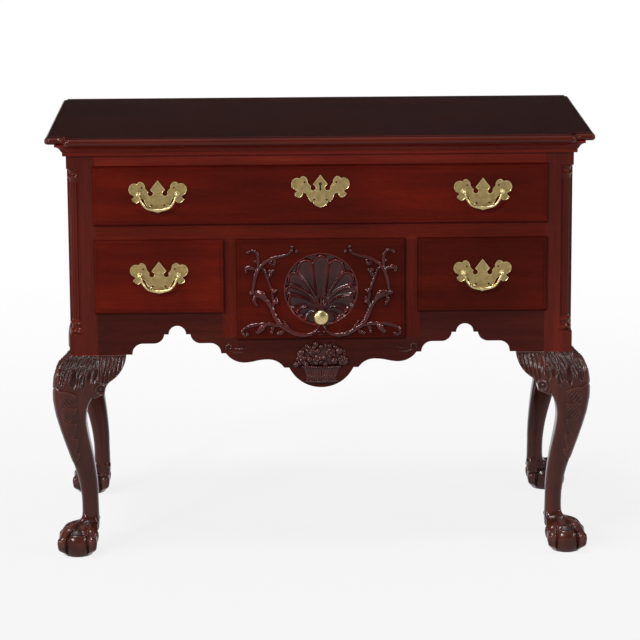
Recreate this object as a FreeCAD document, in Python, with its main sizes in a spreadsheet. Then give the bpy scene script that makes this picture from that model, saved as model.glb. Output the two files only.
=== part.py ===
"""A carved lowboy: a dressing chest on cabriole legs, with one long drawer over three short ones.

All sizes are in millimetres. The floor is Z = 0, the front faces -Y, and the origin is on the floor
under the middle of the top. Every length that drives the shape is one cell of the sheet.
"""

import FreeCAD
import Part
import Sketcher
import math
import os
from types import SimpleNamespace

Vector = FreeCAD.Vector

DRIVING = {
    # the overall sizes: the case without its top's overhang, and the full height
    "case_width": 900.0,
    "case_depth": 446.0,
    "overall_height": 768.0,
    # the top and its edge
    "top_thickness": 14.0,
    "side_overhang": 37.0,
    "front_overhang": 36.5,
    "back_overhang": 32.5,
    "edge_moulding": 10.0,
    "edge_round": 6.0,
    "edge_under": 4.5,
    "edge_rise": 2.0,
    "ear_length": 14.0,
    "ear_cove": 11.0,
    # the case
    "post_size": 50.0,
    "side_thickness": 20.0,
    "back_thickness": 14.0,
    "back_inset": 8.0,
    "top_rail_height": 45.0,
    "top_rail_depth": 24.0,
    "rail_facing": 4.0,
    "blade_height": 35.0,
    "blade_depth": 60.0,
    "divider_width": 30.0,
    "runner_width": 46.0,
    "runner_height": 20.0,
    "partition_thickness": 24.0,
    "block_length": 70.0,
    "block_size": 24.0,
    # the apron: an arch each side of a round pendant
    "apron_height": 80.0,
    "apron_thickness": 20.0,
    "arch_inset": 142.3,
    "arch_foot": 81.0,
    "arch_cove": 19.0,
    "arch_step": 20.0,
    "arch_shoulder": 18.6,
    "arch_crown": 16.5,
    "arch_lobe": 15.6,
    "pendant_half": 57.7,
    "pendant_shoulder": 26.5,
    "pendant_drop": 63.0,
    "pendant_round": 63.5,
    # the moulding under the top
    "bed_height": 22.0,
    "bed_foot": 8.0,
    "bed_reach": 19.0,
    # the corner columns
    "column_step": 36.0,
    "column_notch": 22.0,
    "column_radius": 19.0,
    "capital_height": 21.0,
    "base_height": 25.0,
    "flute_radius": 2.1,
    # the drawers
    "upper_opening_height": 98.0,
    "side_opening_height": 125.0,
    "centre_opening_height": 174.0,
    "centre_opening_width": 293.0,
    "lip_overlap": 4.5,
    "lip_thickness": 7.0,
    "lip_round": 5.0,
    "field_inset": 8.0,
    "field_rise": 1.2,
    "tongue_depth": 14.0,
    "side_play": 1.5,
    "slide_gap": 0.3,
    "head_room": 2.0,
    "drawer_back_space": 10.0,
    "drawer_side": 10.0,
    "drawer_bottom": 7.0,
    "bottom_rise": 8.0,
    "groove_depth": 5.0,
    "tail_length": 10.0,
    "tail_slope": 2.2,
    "pin_width": 11.0,
    # the shell recess on the centre drawer
    "shell_radius": 66.0,
    "shell_depth": 6.0,
    # the legs
    "knee_projection": 31.0,
    "ankle_size": 31.0,
    "ankle_inset": 13.2,
    "ball_radius": 35.0,
    "ball_height": 60.0,
    "foot_inset": 6.0,
    "toe_radius": 6.8,
    "bracket_length": 50.0,
    "bracket_height": 74.0,
    "glue_gap": 0.3,
    # the brasses
    "plate_width": 103.0,
    "plate_thickness": 2.0,
    "handle_rise": 5.3,
    "escutcheon_rise": 13.0,
    "keyhole_eye": 2.9,
    "keyhole_slot": 2.8,
    "keyhole_rise": 8.0,
    "keyhole_drop": 3.5,
    "post_spacing": 69.0,
    "post_shank": 2.4,
    "post_head": 4.4,
    "nut_size": 9.0,
    "nut_thickness": 3.0,
    "bore_play": 0.1,
    "bail_standoff": 11.0,
    "bail_radius": 1.9,
    "bail_play": 0.3,
    "bail_inset": 7.0,
    "bail_drop": 27.0,
    "bail_bend": 12.0,
    "knob_radius": 13.5,
    "knob_reach": 22.0,
    "knob_shank": 3.0,
    "knob_nut": 12.0,
    "knob_rise": 39.0,
    # the lock
    "lock_width": 60.0,
    "lock_height": 42.0,
    "lock_depth": 11.0,
    "bolt_width": 24.0,
    "bolt_thickness": 6.0,
    "bolt_length": 17.0,
    "bolt_throw": 9.0,
    "lock_play": 0.5,
}

doc = FreeCAD.newDocument("lowboy")
sheet = doc.addObject("Spreadsheet::Sheet", "Sheet")
for row, (alias, value) in enumerate(DRIVING.items(), start=1):
    sheet.set("A%d" % row, alias)
    sheet.set("B%d" % row, str(value))
    sheet.setAlias("B%d" % row, alias)
doc.recompute()


class Size:
    """A length that carries both its value and the sheet expression it comes from."""

    def __init__(self, value, text):
        self.value = float(value)
        self.text = text

    def __add__(self, other):
        other = sized(other)
        return Size(self.value + other.value, "(%s + %s)" % (self.text, other.text))

    def __sub__(self, other):
        other = sized(other)
        return Size(self.value - other.value, "(%s - %s)" % (self.text, other.text))

    def __mul__(self, factor):
        factor = sized(factor)
        return Size(self.value * factor.value, "(%s * %s)" % (self.text, factor.text))

    def __truediv__(self, factor):
        factor = sized(factor)
        return Size(self.value / factor.value, "(%s / %s)" % (self.text, factor.text))

    def __neg__(self):
        return self * -1

    def __radd__(self, other):
        return sized(other) + self

    def __rsub__(self, other):
        return sized(other) - self

    def __rmul__(self, factor):
        return self * factor


def sized(item):
    """Turn a plain number into a length with its own text."""
    if isinstance(item, Size):
        return item
    return Size(item, "(%r)" % float(item))


S = SimpleNamespace(**{alias: Size(sheet.get(alias), "Sheet." + alias) for alias in DRIVING})
ZERO = sized(0.0)


# Working shapes: boards, and joins between them

def board(name, span_x, span_y, span_z):
    """A squared board between two corners."""
    piece = doc.addObject("Part::Box", name)
    spans = (span_x, span_y, span_z)
    for side, axis, (low, high) in zip(("Length", "Width", "Height"), "xyz", spans):
        low = sized(low)
        high = sized(high)
        piece.setExpression(side, (high - low).text)
        piece.setExpression("Placement.Base." + axis, low.text)
    return piece


def mirrored(side, near, far):
    """The span from near to far on the right side, or its mirror image on the left."""
    if side > 0:
        return (sized(near), sized(far))
    return (-sized(far), -sized(near))


def cut_away(name, base, *tools):
    """A piece with other shapes taken out of it."""
    piece = doc.addObject("Part::Cut", name)
    piece.Base = base
    piece.Tool = tools[0] if len(tools) == 1 else join(name + "_tools", *tools)
    return piece


def join(name, *pieces):
    """Several shapes joined into one."""
    piece = doc.addObject("Part::MultiFuse", name)
    piece.Shapes = list(pieces)
    return piece


def gather(name, pieces):
    """Separate solids kept in one sub-part."""
    group = doc.addObject("Part::Compound", name)
    group.Links = list(pieces)
    return group


# Sketched bodies

def new_body(name):
    """An empty body."""
    return doc.addObject("PartDesign::Body", name)


def new_sketch(body, plane, along=(0.0, 0.0, 0.0)):
    """A sketch on one of the body's own planes, moved by (across, up, out) in that plane's directions."""
    sketch = body.newObject("Sketcher::SketchObject", body.Name + "_sketch")
    for feature in body.Origin.OriginFeatures:
        if feature.Role == plane:
            sketch.AttachmentSupport = (feature, "")
    sketch.MapMode = "FlatFace"
    for axis, shift in zip("xyz", along):
        sketch.setExpression("AttachmentOffset.Base." + axis, sized(shift).text)
    return sketch


def arc_between(start, end, radius, turn):
    """The short arc from start to end, turning left (1) or right (-1), and its start and end points."""
    chord = end - start
    reach = chord.Length / 2
    normal = Vector(-chord.y, chord.x, 0) / chord.Length * turn
    centre = (start + end) / 2 + normal * math.sqrt(max(radius * radius - reach * reach, 0.0))
    first = math.atan2(start.y - centre.y, start.x - centre.x)
    last = math.atan2(end.y - centre.y, end.x - centre.x)
    circle = Part.Circle(centre, Vector(0, 0, 1), radius)
    if turn > 0:
        return Part.ArcOfCircle(circle, first, last), 1, 2
    return Part.ArcOfCircle(circle, last, first), 2, 1


def draw(sketch, path, closed=True):
    """Draw a run of lines and arcs through points (x, y, bend).

    bend is None for a straight line arriving at the point, or (radius, turn) for an arc.
    """
    points = [(sized(x), sized(y), bend) for x, y, bend in path]
    pairs = list(zip(points, points[1:] + points[:1]))
    if not closed:
        pairs = pairs[:-1]
    shapes = []
    for (x0, y0, _), (x1, y1, bend) in pairs:
        start = Vector(x0.value, y0.value, 0)
        end = Vector(x1.value, y1.value, 0)
        if bend is None:
            shapes.append((Part.LineSegment(start, end), 1, 2, None))
        else:
            radius = sized(bend[0])
            shapes.append(arc_between(start, end, radius.value, bend[1]) + (radius,))
    first = sketch.GeometryCount
    sketch.addGeometry([shape[0] for shape in shapes], False)
    rules = []
    texts = []
    links = len(shapes) if closed else len(shapes) - 1
    for index in range(links):
        following = (index + 1) % len(shapes)
        rules.append(Sketcher.Constraint("Coincident", first + index, shapes[index][2],
                                         first + following, shapes[following][1]))
        texts.append(None)
    places = [(first + index, shape[1]) for index, shape in enumerate(shapes)]
    if not closed:
        places.append((first + len(shapes) - 1, shapes[-1][2]))
    for (geometry, end), (x, y, _) in zip(places, points):
        for kind, length, axis in (("DistanceX", x, -2), ("DistanceY", y, -1)):
            if abs(length.value) < 1e-9:
                rules.append(Sketcher.Constraint("PointOnObject", geometry, end, axis))
                texts.append(None)
            else:
                rules.append(Sketcher.Constraint(kind, -1, 1, geometry, end, length.value))
                texts.append(length.text)
    for index, shape in enumerate(shapes):
        if shape[3] is not None:
            rules.append(Sketcher.Constraint("Radius", first + index, shape[3].value))
            texts.append(shape[3].text)
    start_rule = sketch.ConstraintCount
    sketch.addConstraint(rules)
    for index, text in enumerate(texts):
        if text is not None:
            sketch.setExpression("Constraints[%d]" % (start_rule + index), text)
    return sketch


def circle(sketch, x, y, radius):
    """Draw a circle."""
    x = sized(x)
    y = sized(y)
    radius = sized(radius)
    ring = sketch.addGeometry(Part.Circle(Vector(x.value, y.value, 0), Vector(0, 0, 1), radius.value), False)
    for kind, length, axis in (("DistanceX", x, -2), ("DistanceY", y, -1)):
        if abs(length.value) < 1e-9:
            sketch.addConstraint(Sketcher.Constraint("PointOnObject", ring, 3, axis))
        else:
            rule = sketch.addConstraint(Sketcher.Constraint(kind, -1, 1, ring, 3, length.value))
            sketch.setExpression("Constraints[%d]" % rule, length.text)
    rule = sketch.addConstraint(Sketcher.Constraint("Radius", ring, radius.value))
    sketch.setExpression("Constraints[%d]" % rule, radius.text)
    return sketch


def box_path(span_x, span_y):
    """The four corners of a rectangle."""
    (left, right), (low, high) = span_x, span_y
    return [(left, low, None), (right, low, None), (right, high, None), (left, high, None)]


def both_halves(half):
    """A closed outline from its right half, which starts and ends on the middle line."""
    path = [(half[0][0], half[0][1], half[1][2])] + list(half[1:])
    for index in range(len(half) - 2, 0, -1):
        x, y, _ = half[index]
        path.append((-sized(x), y, half[index + 1][2]))
    return path


def shifted(path, across, up):
    """A path moved across and up."""
    return [(sized(x) + across, sized(y) + up, bend) for x, y, bend in path]


def pad(body, sketch, length, middle=False):
    """Raise a sketch into a solid."""
    feature = body.newObject("PartDesign::Pad", body.Name + "_pad")
    feature.Profile = sketch
    feature.setExpression("Length", sized(length).text)
    feature.Midplane = middle
    return feature


def pocket(body, sketch, length=None):
    """Sink a sketch to both sides: right through, or over a length centred on the sketch."""
    feature = body.newObject("PartDesign::Pocket", body.Name + "_pocket")
    feature.Profile = sketch
    feature.Midplane = True
    if length is None:
        feature.Type = "ThroughAll"
    else:
        feature.setExpression("Length", sized(length).text)
    return feature


def turn(body, sketch, degrees=360.0, reverse=False):
    """Turn a sketch about its own upright axis."""
    feature = body.newObject("PartDesign::Revolution", body.Name + "_turned")
    feature.Profile = sketch
    feature.ReferenceAxis = (sketch, ["V_Axis"])
    feature.Angle = degrees
    feature.Reversed = reverse
    return feature


def round_over(body, feature, radius, wanted):
    """Round the edges of a feature that the test picks."""
    doc.recompute()
    names = ["Edge%d" % (index + 1) for index, edge in enumerate(feature.Shape.Edges) if wanted(edge)]
    fillet = body.newObject("PartDesign::Fillet", body.Name + "_round")
    fillet.Base = (feature, names)
    fillet.setExpression("Radius", sized(radius).text)
    return fillet


def flat_at(axis, level):
    """A test for edges that lie in one plane."""
    def wanted(edge):
        box = edge.BoundBox
        low = getattr(box, axis + "Min")
        high = getattr(box, axis + "Max")
        return abs(low - level.value) < 0.01 and abs(high - level.value) < 0.01
    return wanted


nodes = []


def keep(name, piece):
    """Name a finished sub-part."""
    piece.Label = name
    nodes.append(piece)
    return piece


# Main planes of the piece

case_half = S.case_width / 2
top_half = case_half + S.side_overhang
top_depth = S.case_depth + S.front_overhang + S.back_overhang
top_front = -top_depth / 2
top_back = top_depth / 2
top_under = S.overall_height - S.top_thickness
case_front = top_front + S.front_overhang
case_back = top_back - S.back_overhang
post_inner = case_half - S.post_size
post_behind = case_front + S.post_size
rear_post_front = case_back - S.post_size
side_inner = case_half - S.side_thickness
back_face = case_back - S.back_inset
back_inner = back_face - S.back_thickness
rail_under = top_under - S.top_rail_height
upper_floor = rail_under - S.upper_opening_height
lower_roof = upper_floor - S.blade_height
side_floor = lower_roof - S.side_opening_height
centre_floor = lower_roof - S.centre_opening_height
centre_half = S.centre_opening_width / 2
divider_outer = centre_half + S.divider_width
knee_line = side_floor - S.apron_height
column_bottom = knee_line + S.column_step
knob_height = centre_floor + S.knob_rise
handle_place = (divider_outer + post_inner) / 2
lip_face = case_front - S.lip_thickness
field_face = lip_face - S.field_rise
tongue_back = case_front + S.tongue_depth


# The top: a thin board with notched front corners and a rounded edge on three sides

def top_outline(inset):
    """The top's outline, drawn in from the front and side edges by an inset of nothing or one moulding."""
    side = top_half - inset
    ear_front = top_front + S.ear_cove + S.edge_moulding
    cove_x = top_half - S.edge_moulding - S.ear_length
    cove_radius = S.ear_cove + inset
    step_x = cove_x - cove_radius
    half = [(ZERO, top_back, None), (side, top_back, None)]
    if inset.value > 0:
        half.append((side, ear_front + inset, None))
        half.append((cove_x, ear_front + inset, None))
        half.append((step_x, top_front + inset, (cove_radius, 1)))
    else:
        half.append((side, ear_front + S.edge_moulding, None))
        half.append((side - S.edge_moulding, ear_front, (S.edge_moulding, -1)))
        half.append((cove_x, ear_front, None))
        half.append((step_x, ear_front - S.ear_cove, (S.ear_cove, 1)))
        half.append((step_x - S.edge_moulding, top_front, (S.edge_moulding, -1)))
    half.append((ZERO, top_front + inset, None))
    return both_halves(half)


def make_top():
    """The top board."""
    body = new_body("top_board")
    sketch = draw(new_sketch(body, "XY_Plane", (0, 0, top_under)), top_outline(ZERO))
    slab = pad(body, sketch, S.top_thickness - S.edge_rise)
    step = top_under + S.top_thickness - S.edge_rise

    def moulded_at(level):
        return lambda edge: flat_at("Z", level)(edge) and edge.BoundBox.YMin < top_back.value - 0.01

    nosing = round_over(body, slab, S.edge_round, moulded_at(step))
    round_over(body, nosing, S.edge_under, moulded_at(top_under))
    field = draw(new_sketch(body, "XY_Plane", (0, 0, step)), top_outline(S.edge_moulding))
    pad(body, field, S.edge_rise)
    return keep("top_board", body)


# The bed moulding under the top: three mitred strips, each a cove over a band

def bed_profile(face, outward):
    """The moulding's section beside a case face, drawn as (across, up) points."""
    foot = face + outward * S.bed_foot
    reach = face + outward * S.bed_reach
    low = top_under - S.bed_height
    cove = S.bed_reach - S.bed_foot
    return [(face, low, None), (foot, low, None), (foot, top_under - cove, None),
            (reach, top_under, (cove, -outward)), (face, top_under, None)]


def make_bed_moulding():
    """The moulding's front strip and two side strips."""
    spread = S.bed_reach * 2
    front = new_body("bed_front")
    strip = draw(new_sketch(front, "YZ_Plane"), bed_profile(case_front, -1))
    pad(front, strip, (case_half + S.bed_reach) * 2, middle=True)
    ends = new_sketch(front, "XY_Plane")
    for side in (-1, 1):
        corner = side * case_half
        draw(ends, [(corner, case_front, None), (corner + side * spread, case_front - spread, None),
                    (corner + side * spread, case_front, None)])
    pocket(front, ends)
    strips = [front]
    for side, word in ((-1, "left"), (1, "right")):
        body = new_body("bed_" + word)
        profile = bed_profile(side * case_half, side)
        strip = draw(new_sketch(body, "XZ_Plane", (0, 0, -case_back)), profile)
        pad(body, strip, case_back - case_front + S.bed_reach)
        end = new_sketch(body, "XY_Plane")
        corner = side * case_half
        draw(end, [(corner, case_front, None), (corner + side * spread, case_front - spread, None),
                   (corner, case_front - spread, None)])
        pocket(body, end)
        strips.append(body)
    return keep("bed_moulding", gather("bed_moulding", strips))


# The legs: each is one piece with its corner post. Shapes are built at the front left corner, where
# a and b are the distances in from the outer side face and the outer front face.

def rounded_square(low, high, outer_round, side_round, inner_round, level):
    """A square section with its four corners rounded, the outer one first."""
    corners = [(low, low, outer_round), (high, low, side_round), (high, high, inner_round),
               (low, high, side_round)]
    ways = [((0, 1), (1, 0)), ((-1, 0), (0, 1)), ((0, -1), (-1, 0)), ((1, 0), (0, -1))]
    runs = []
    for (a, b, radius), (enter, leave) in zip(corners, ways):
        start = Vector(a + enter[0] * radius, b + enter[1] * radius, level)
        end = Vector(a + leave[0] * radius, b + leave[1] * radius, level)
        centre = Vector(start.x + leave[0] * radius, start.y + leave[1] * radius, level)
        middle = centre + (Vector(a, b, level) - centre).normalize() * radius
        runs.append((start, middle, end))
    edges = []
    for (start, middle, end), (following, _, _) in zip(runs, runs[1:] + runs[:1]):
        edges.append(Part.Arc(start, middle, end).toShape())
        edges.append(Part.LineSegment(end, following).toShape())
    return Part.Wire(edges)


def leg_stations():
    """Sections down the leg: height as a share of the knee's, reach out and in, and the corner rounds."""
    knee = knee_line.value
    reach = S.knee_projection.value
    post = S.post_size.value
    ankle_out = -S.ankle_inset.value
    ankle_in = S.ankle_inset.value + S.ankle_size.value
    ankle_round = S.ankle_size.value * 0.42
    return [
        (knee + 5, 0.0, post, 1.0, 1.0, 1.0),
        (knee * 0.972, reach * 0.45, post, 6.0, 2.0, 1.0),
        (knee * 0.94, reach * 0.8, post, 11.0, 4.0, 1.0),
        (knee * 0.887, reach * 0.97, post, 15.0, 6.0, 1.5),
        (knee * 0.83, reach, post * 0.9, 16.0, 8.0, 3.0),
        (knee * 0.779, reach * 0.975, post * 0.68, 17.0, 9.0, 5.0),
        (knee * 0.72, reach * 0.87, post * 0.55, 17.0, 10.0, 8.0),
        (knee * 0.609, reach * 0.54, post * 0.59, 15.0, 11.0, 10.0),
        (knee * 0.488, reach * 0.1, post * 0.745, 14.0, 12.0, 12.0),
        (knee * 0.367, ankle_out * 0.78, ankle_in * 0.97, 13.5, 12.5, 12.5),
        (knee * 0.24, ankle_out, ankle_in, ankle_round, ankle_round, ankle_round),
        (knee * 0.159, ankle_out, ankle_in - 0.5, ankle_round, ankle_round, ankle_round),
        (knee * 0.094, ankle_out + 3.0, ankle_in - 10.0, 10.0, 10.0, 10.0),
    ]


def toe(direction):
    """One claw of the foot: from the ankle over two knuckles to the talon's tip."""
    ball = S.ball_radius.value
    set_back = S.ankle_inset.value + S.ankle_size.value / 2 - S.foot_inset.value
    tall = S.ball_height.value
    thick = S.toe_radius.value
    middle = Vector(S.foot_inset.value, S.foot_inset.value, 0)
    away = Vector(direction[0], direction[1], 0).normalize()
    ankle = Vector(set_back, set_back, 0)
    steps = [(1.0, 0.24, 1.5, 0.6), (0.9, 0.42, 1.24, 0.95), (0.56, 0.68, 1.03, 1.0), (0.22, 0.92, 0.86, 1.3),
             (0.05, 1.03, 0.7, 1.0), (0.0, 1.09, 0.5, 1.2), (0.0, 1.1, 0.3, 1.05), (0.0, 1.03, 0.1, 0.8),
             (0.0, 0.97, -0.03, 0.62)]
    line = []
    for share, out, up, _ in steps:
        line.append(middle + ankle * share + away * (ball * out) + Vector(0, 0, tall * up))
    rings = []
    for index, point in enumerate(line):
        before = line[max(index - 1, 0)]
        after = line[min(index + 1, len(line) - 1)]
        rings.append(Part.Wire(Part.makeCircle(thick * steps[index][3], point, after - before)))
    return Part.makeLoft(rings, True, False)


def wrist():
    """The skin between the ankle and the claws, which spreads over the top of the ball."""
    foot = S.foot_inset.value
    set_back = S.ankle_inset.value + S.ankle_size.value / 2 - foot
    rings = []
    for share, up, wide in ((1.0, 1.5, 0.42), (0.92, 1.22, 0.5), (0.6, 0.98, 0.68), (0.3, 0.82, 0.83),
                            (0.14, 0.72, 0.9)):
        middle = Vector(foot + set_back * share, foot + set_back * share, S.ball_height.value * up)
        rings.append(Part.Wire(Part.makeCircle(S.ball_radius.value * wide, middle)))
    return Part.makeLoft(rings, True, False)


def leg_form():
    """The cabriole leg below its post, with a ball and claw foot."""
    shin = Part.makeLoft([rounded_square(-out, into, r0, r1, r2, level)
                          for level, out, into, r0, r1, r2 in leg_stations()], True, False)
    centre = Vector(S.foot_inset.value, S.foot_inset.value, S.ball_height.value * 0.4)
    ball = Part.makeSphere(S.ball_radius.value)
    squash = FreeCAD.Matrix()
    squash.scale(1.0, 1.0, S.ball_height.value * 0.57 / S.ball_radius.value)
    ball = ball.transformGeometry(squash)
    ball.translate(centre)
    whole = shin.fuse([ball, wrist()] + [toe(way) for way in ((-1, -1), (1, -1), (-1, 1), (1, 1))])
    reach = S.ball_radius.value * 4
    room = Part.makeBox(reach + S.post_size.value, reach + S.post_size.value, knee_line.value + reach,
                        Vector(-reach, -reach, 0))
    return whole.common(room)


def bracket_form(leg):
    """A knee bracket beside the post's front face: an ogee in front view, tapering away from the knee."""
    post = S.post_size.value
    top = knee_line.value
    length = S.bracket_length.value
    tall = S.bracket_height.value
    knee = [(level, out) for level, out, _, _, _, _ in leg_stations()[:7]]
    sections = []
    for along, share in ((post - 10, 1.0), (post + length, 0.2)):
        front = [Vector(along, -max(out, 0.0) * share - 0.6, level) for level, out in knee]
        curve = Part.BSplineCurve()
        curve.interpolate(front)
        back_top = Vector(along, S.apron_thickness.value, front[0].z)
        back_low = Vector(along, S.apron_thickness.value, front[-1].z)
        edges = [curve.toShape()]
        for start, end in ((front[-1], back_low), (back_low, back_top), (back_top, front[0])):
            edges.append(Part.LineSegment(start, end).toShape())
        sections.append(Part.Wire(edges))
    bulk = Part.makeLoft(sections, True, True)

    def at(along, down):
        return Vector(post + length * along, 0, top - tall * down)

    root = 9.0 / length
    points = [at(-root, 0), at(1, 0), at(0.46, 0.6), at(0.23, 0.92), at(-root, 1)]
    mids = [at(0.81, 0.385), at(0.265, 0.755)]
    outline = Part.Wire([Part.LineSegment(points[0], points[1]).toShape(),
                         Part.Arc(points[1], mids[0], points[2]).toShape(),
                         Part.Arc(points[2], mids[1], points[3]).toShape(),
                         Part.LineSegment(points[3], points[4]).toShape(),
                         Part.LineSegment(points[4], points[0]).toShape()])
    deep = S.knee_projection.value * 2
    slab = Part.Face(outline)
    slab.translate(Vector(0, -deep, 0))
    slab = slab.extrude(Vector(0, deep * 2, 0))
    post_block = Part.makeBox(post, post, tall * 2, Vector(0, 0, top - tall))
    glue_line = leg.copy()
    glue_line.translate(Vector(S.glue_gap.value, 0, 0))
    return bulk.common(slab).cut([leg, glue_line, post_block])


def at_corner(shape, side, rear):
    """A shape built at the front left corner, mirrored and moved to another corner."""
    origin = Vector(0, 0, 0)
    placed = shape.copy()
    if side > 0:
        placed = placed.mirror(origin, Vector(1, 0, 0))
    if rear:
        placed = placed.mirror(origin, Vector(0, 1, 0))
    level = case_back.value if rear else case_front.value
    placed.translate(Vector(side * case_half.value, level, 0))
    return placed


def set_shape(name, shape):
    """A carved form kept as a document object."""
    piece = doc.addObject("Part::Feature", name)
    piece.Shape = shape
    return piece


def make_legs():
    """Four legs with their posts, and the knee brackets beside them."""
    leg = leg_form()
    bracket = bracket_form(leg)
    turned_bracket = bracket.mirror(Vector(0, 0, 0), Vector(1, -1, 0).normalize())
    foot_of_post = knee_line + 3
    rear_brackets = []
    for side, hand in ((-1, "left"), (1, "right")):
        for rear, end in ((False, "front"), (True, "rear")):
            name = "%s_%s_leg" % (end, hand)
            low_y, high_y = (rear_post_front, case_back) if rear else (case_front, post_behind)
            post = board(name + "_post", mirrored(side, post_inner, case_half), (low_y, high_y),
                         (foot_of_post, top_under))
            if not rear:
                notch = board(name + "_notch", mirrored(side, case_half - S.column_notch, case_half + 1),
                              (case_front - 1, case_front + S.column_notch), (column_bottom, rail_under))
                post = cut_away(name + "_notched", post, notch)
            carved = set_shape(name + "_carved", at_corner(leg, side, rear))
            keep(name, join(name, post, carved))
            beside = set_shape(name + "_side_bracket", at_corner(turned_bracket, side, rear))
            if rear:
                rear_brackets.append(beside)
            else:
                before = set_shape(name + "_front_bracket", at_corner(bracket, side, rear))
                pair = "front_%s_knee_brackets" % hand
                keep(pair, gather(pair, [before, beside]))
    keep("rear_knee_brackets", gather("rear_knee_brackets", rear_brackets))


# The case: sides, back, front rails, dividers and the scrolled apron

def make_case():
    """The boards of the case and the runners inside it."""
    for side, hand in ((-1, "left"), (1, "right")):
        keep(hand + "_side_panel", board(hand + "_side_panel", mirrored(side, side_inner, case_half),
                                         (post_behind, rear_post_front), (knee_line, top_under)))
    keep("back_panel", board("back_panel", (-post_inner, post_inner), (back_inner, back_face),
                             (centre_floor - S.runner_height, top_under)))
    make_top_rail()
    keep("drawer_blade", board("drawer_blade", (-post_inner, post_inner),
                               (case_front, case_front + S.blade_depth), (lower_roof, upper_floor)))
    for side, hand in ((-1, "left"), (1, "right")):
        keep(hand + "_divider", board(hand + "_divider", mirrored(side, centre_half, divider_outer),
                                      (case_front, case_front + S.blade_depth), (centre_floor, lower_roof)))
        middle = (centre_half + divider_outer) / 2
        half = S.partition_thickness / 2
        keep(hand + "_partition", board(hand + "_partition", mirrored(side, middle - half, middle + half),
                                        (case_front + S.blade_depth, back_inner),
                                        (centre_floor - S.runner_height, lower_roof)))
    make_runners()
    make_blocks()
    keep("apron", make_apron())


def make_top_rail():
    """The rail over the long drawer: a facing on a core whose lower strips leave room for the bolt."""
    behind = case_front + S.rail_facing
    deep = (behind, case_front + S.top_rail_depth)
    mortise_half = S.bolt_width / 2 + S.lock_play * 4
    mortise_roof = rail_under + S.bolt_throw + 4
    facing = board("top_rail", (-post_inner, post_inner), (case_front, behind), (rail_under, top_under))
    keep("top_rail", facing)
    core = [board("upper_rail_core", (-post_inner, post_inner), deep, (mortise_roof, top_under))]
    for side, hand in ((-1, "left"), (1, "right")):
        core.append(board(hand + "_rail_strip", mirrored(side, mortise_half, post_inner), deep,
                          (rail_under, mortise_roof)))
    keep("top_rail_core", gather("top_rail_core", core))


def make_runners():
    """The runners that carry the drawers, with the guide strips beside the long drawer."""
    runner_inner = side_inner - S.runner_width
    behind_apron = case_front + S.apron_thickness
    behind_blade = case_front + S.blade_depth
    middle = (centre_half + divider_outer) / 2
    half = S.partition_thickness / 2
    upper = []
    lower = []
    inner = []
    for side, hand in ((-1, "left"), (1, "right")):
        beside_side = mirrored(side, runner_inner, side_inner)
        upper.append(board(hand + "_upper_runner", beside_side, (behind_blade, rear_post_front),
                           (lower_roof, upper_floor)))
        guide = mirrored(side, post_inner, side_inner)
        upper.append(board(hand + "_upper_guide", guide, (post_behind, rear_post_front),
                           (upper_floor, upper_floor + S.runner_height)))
        lower.append(board(hand + "_lower_runner", mirrored(side, runner_inner, post_inner),
                           (behind_apron, back_inner), (side_floor - S.runner_height, side_floor)))
        lower.append(board(hand + "_lower_guide", guide, (post_behind, rear_post_front),
                           (side_floor - S.runner_height, side_floor + S.runner_height)))
        ledge = mirrored(side, middle + half, divider_outer + S.runner_height)
        inner.append(board(hand + "_outer_ledge", ledge, (behind_blade, back_inner),
                           (side_floor - S.runner_height, side_floor)))
        ledge = mirrored(side, centre_half - S.runner_height, middle - half)
        inner.append(board(hand + "_inner_ledge", ledge, (behind_apron, back_inner),
                           (centre_floor - S.runner_height, centre_floor)))
    keep("upper_runners", gather("upper_runners", upper))
    keep("lower_runners", gather("lower_runners", lower))
    keep("partition_runners", gather("partition_runners", inner))


def make_blocks():
    """Glue blocks that hold the top to the case."""
    blocks = []
    low = top_under - S.block_size
    for side, hand in ((-1, "left"), (1, "right")):
        for share in (0.2, 0.5, 0.8):
            middle = post_behind + (rear_post_front - post_behind) * share
            span = (middle - S.block_length / 2, middle + S.block_length / 2)
            beside = mirrored(side, side_inner - S.block_size, side_inner)
            blocks.append(board("%s_block" % hand, beside, span, (low, top_under)))
        middle = side * (post_inner / 2)
        span = (middle - S.block_length / 2, middle + S.block_length / 2)
        behind = case_front + S.top_rail_depth
        blocks.append(board("%s_front_block" % hand, span, (behind, behind + S.block_size), (low, top_under)))
        ahead = (back_inner - S.block_size, back_inner)
        blocks.append(board("%s_back_block" % hand, span, ahead, (low, top_under)))
    keep("top_glue_blocks", gather("top_glue_blocks", blocks))


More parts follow.
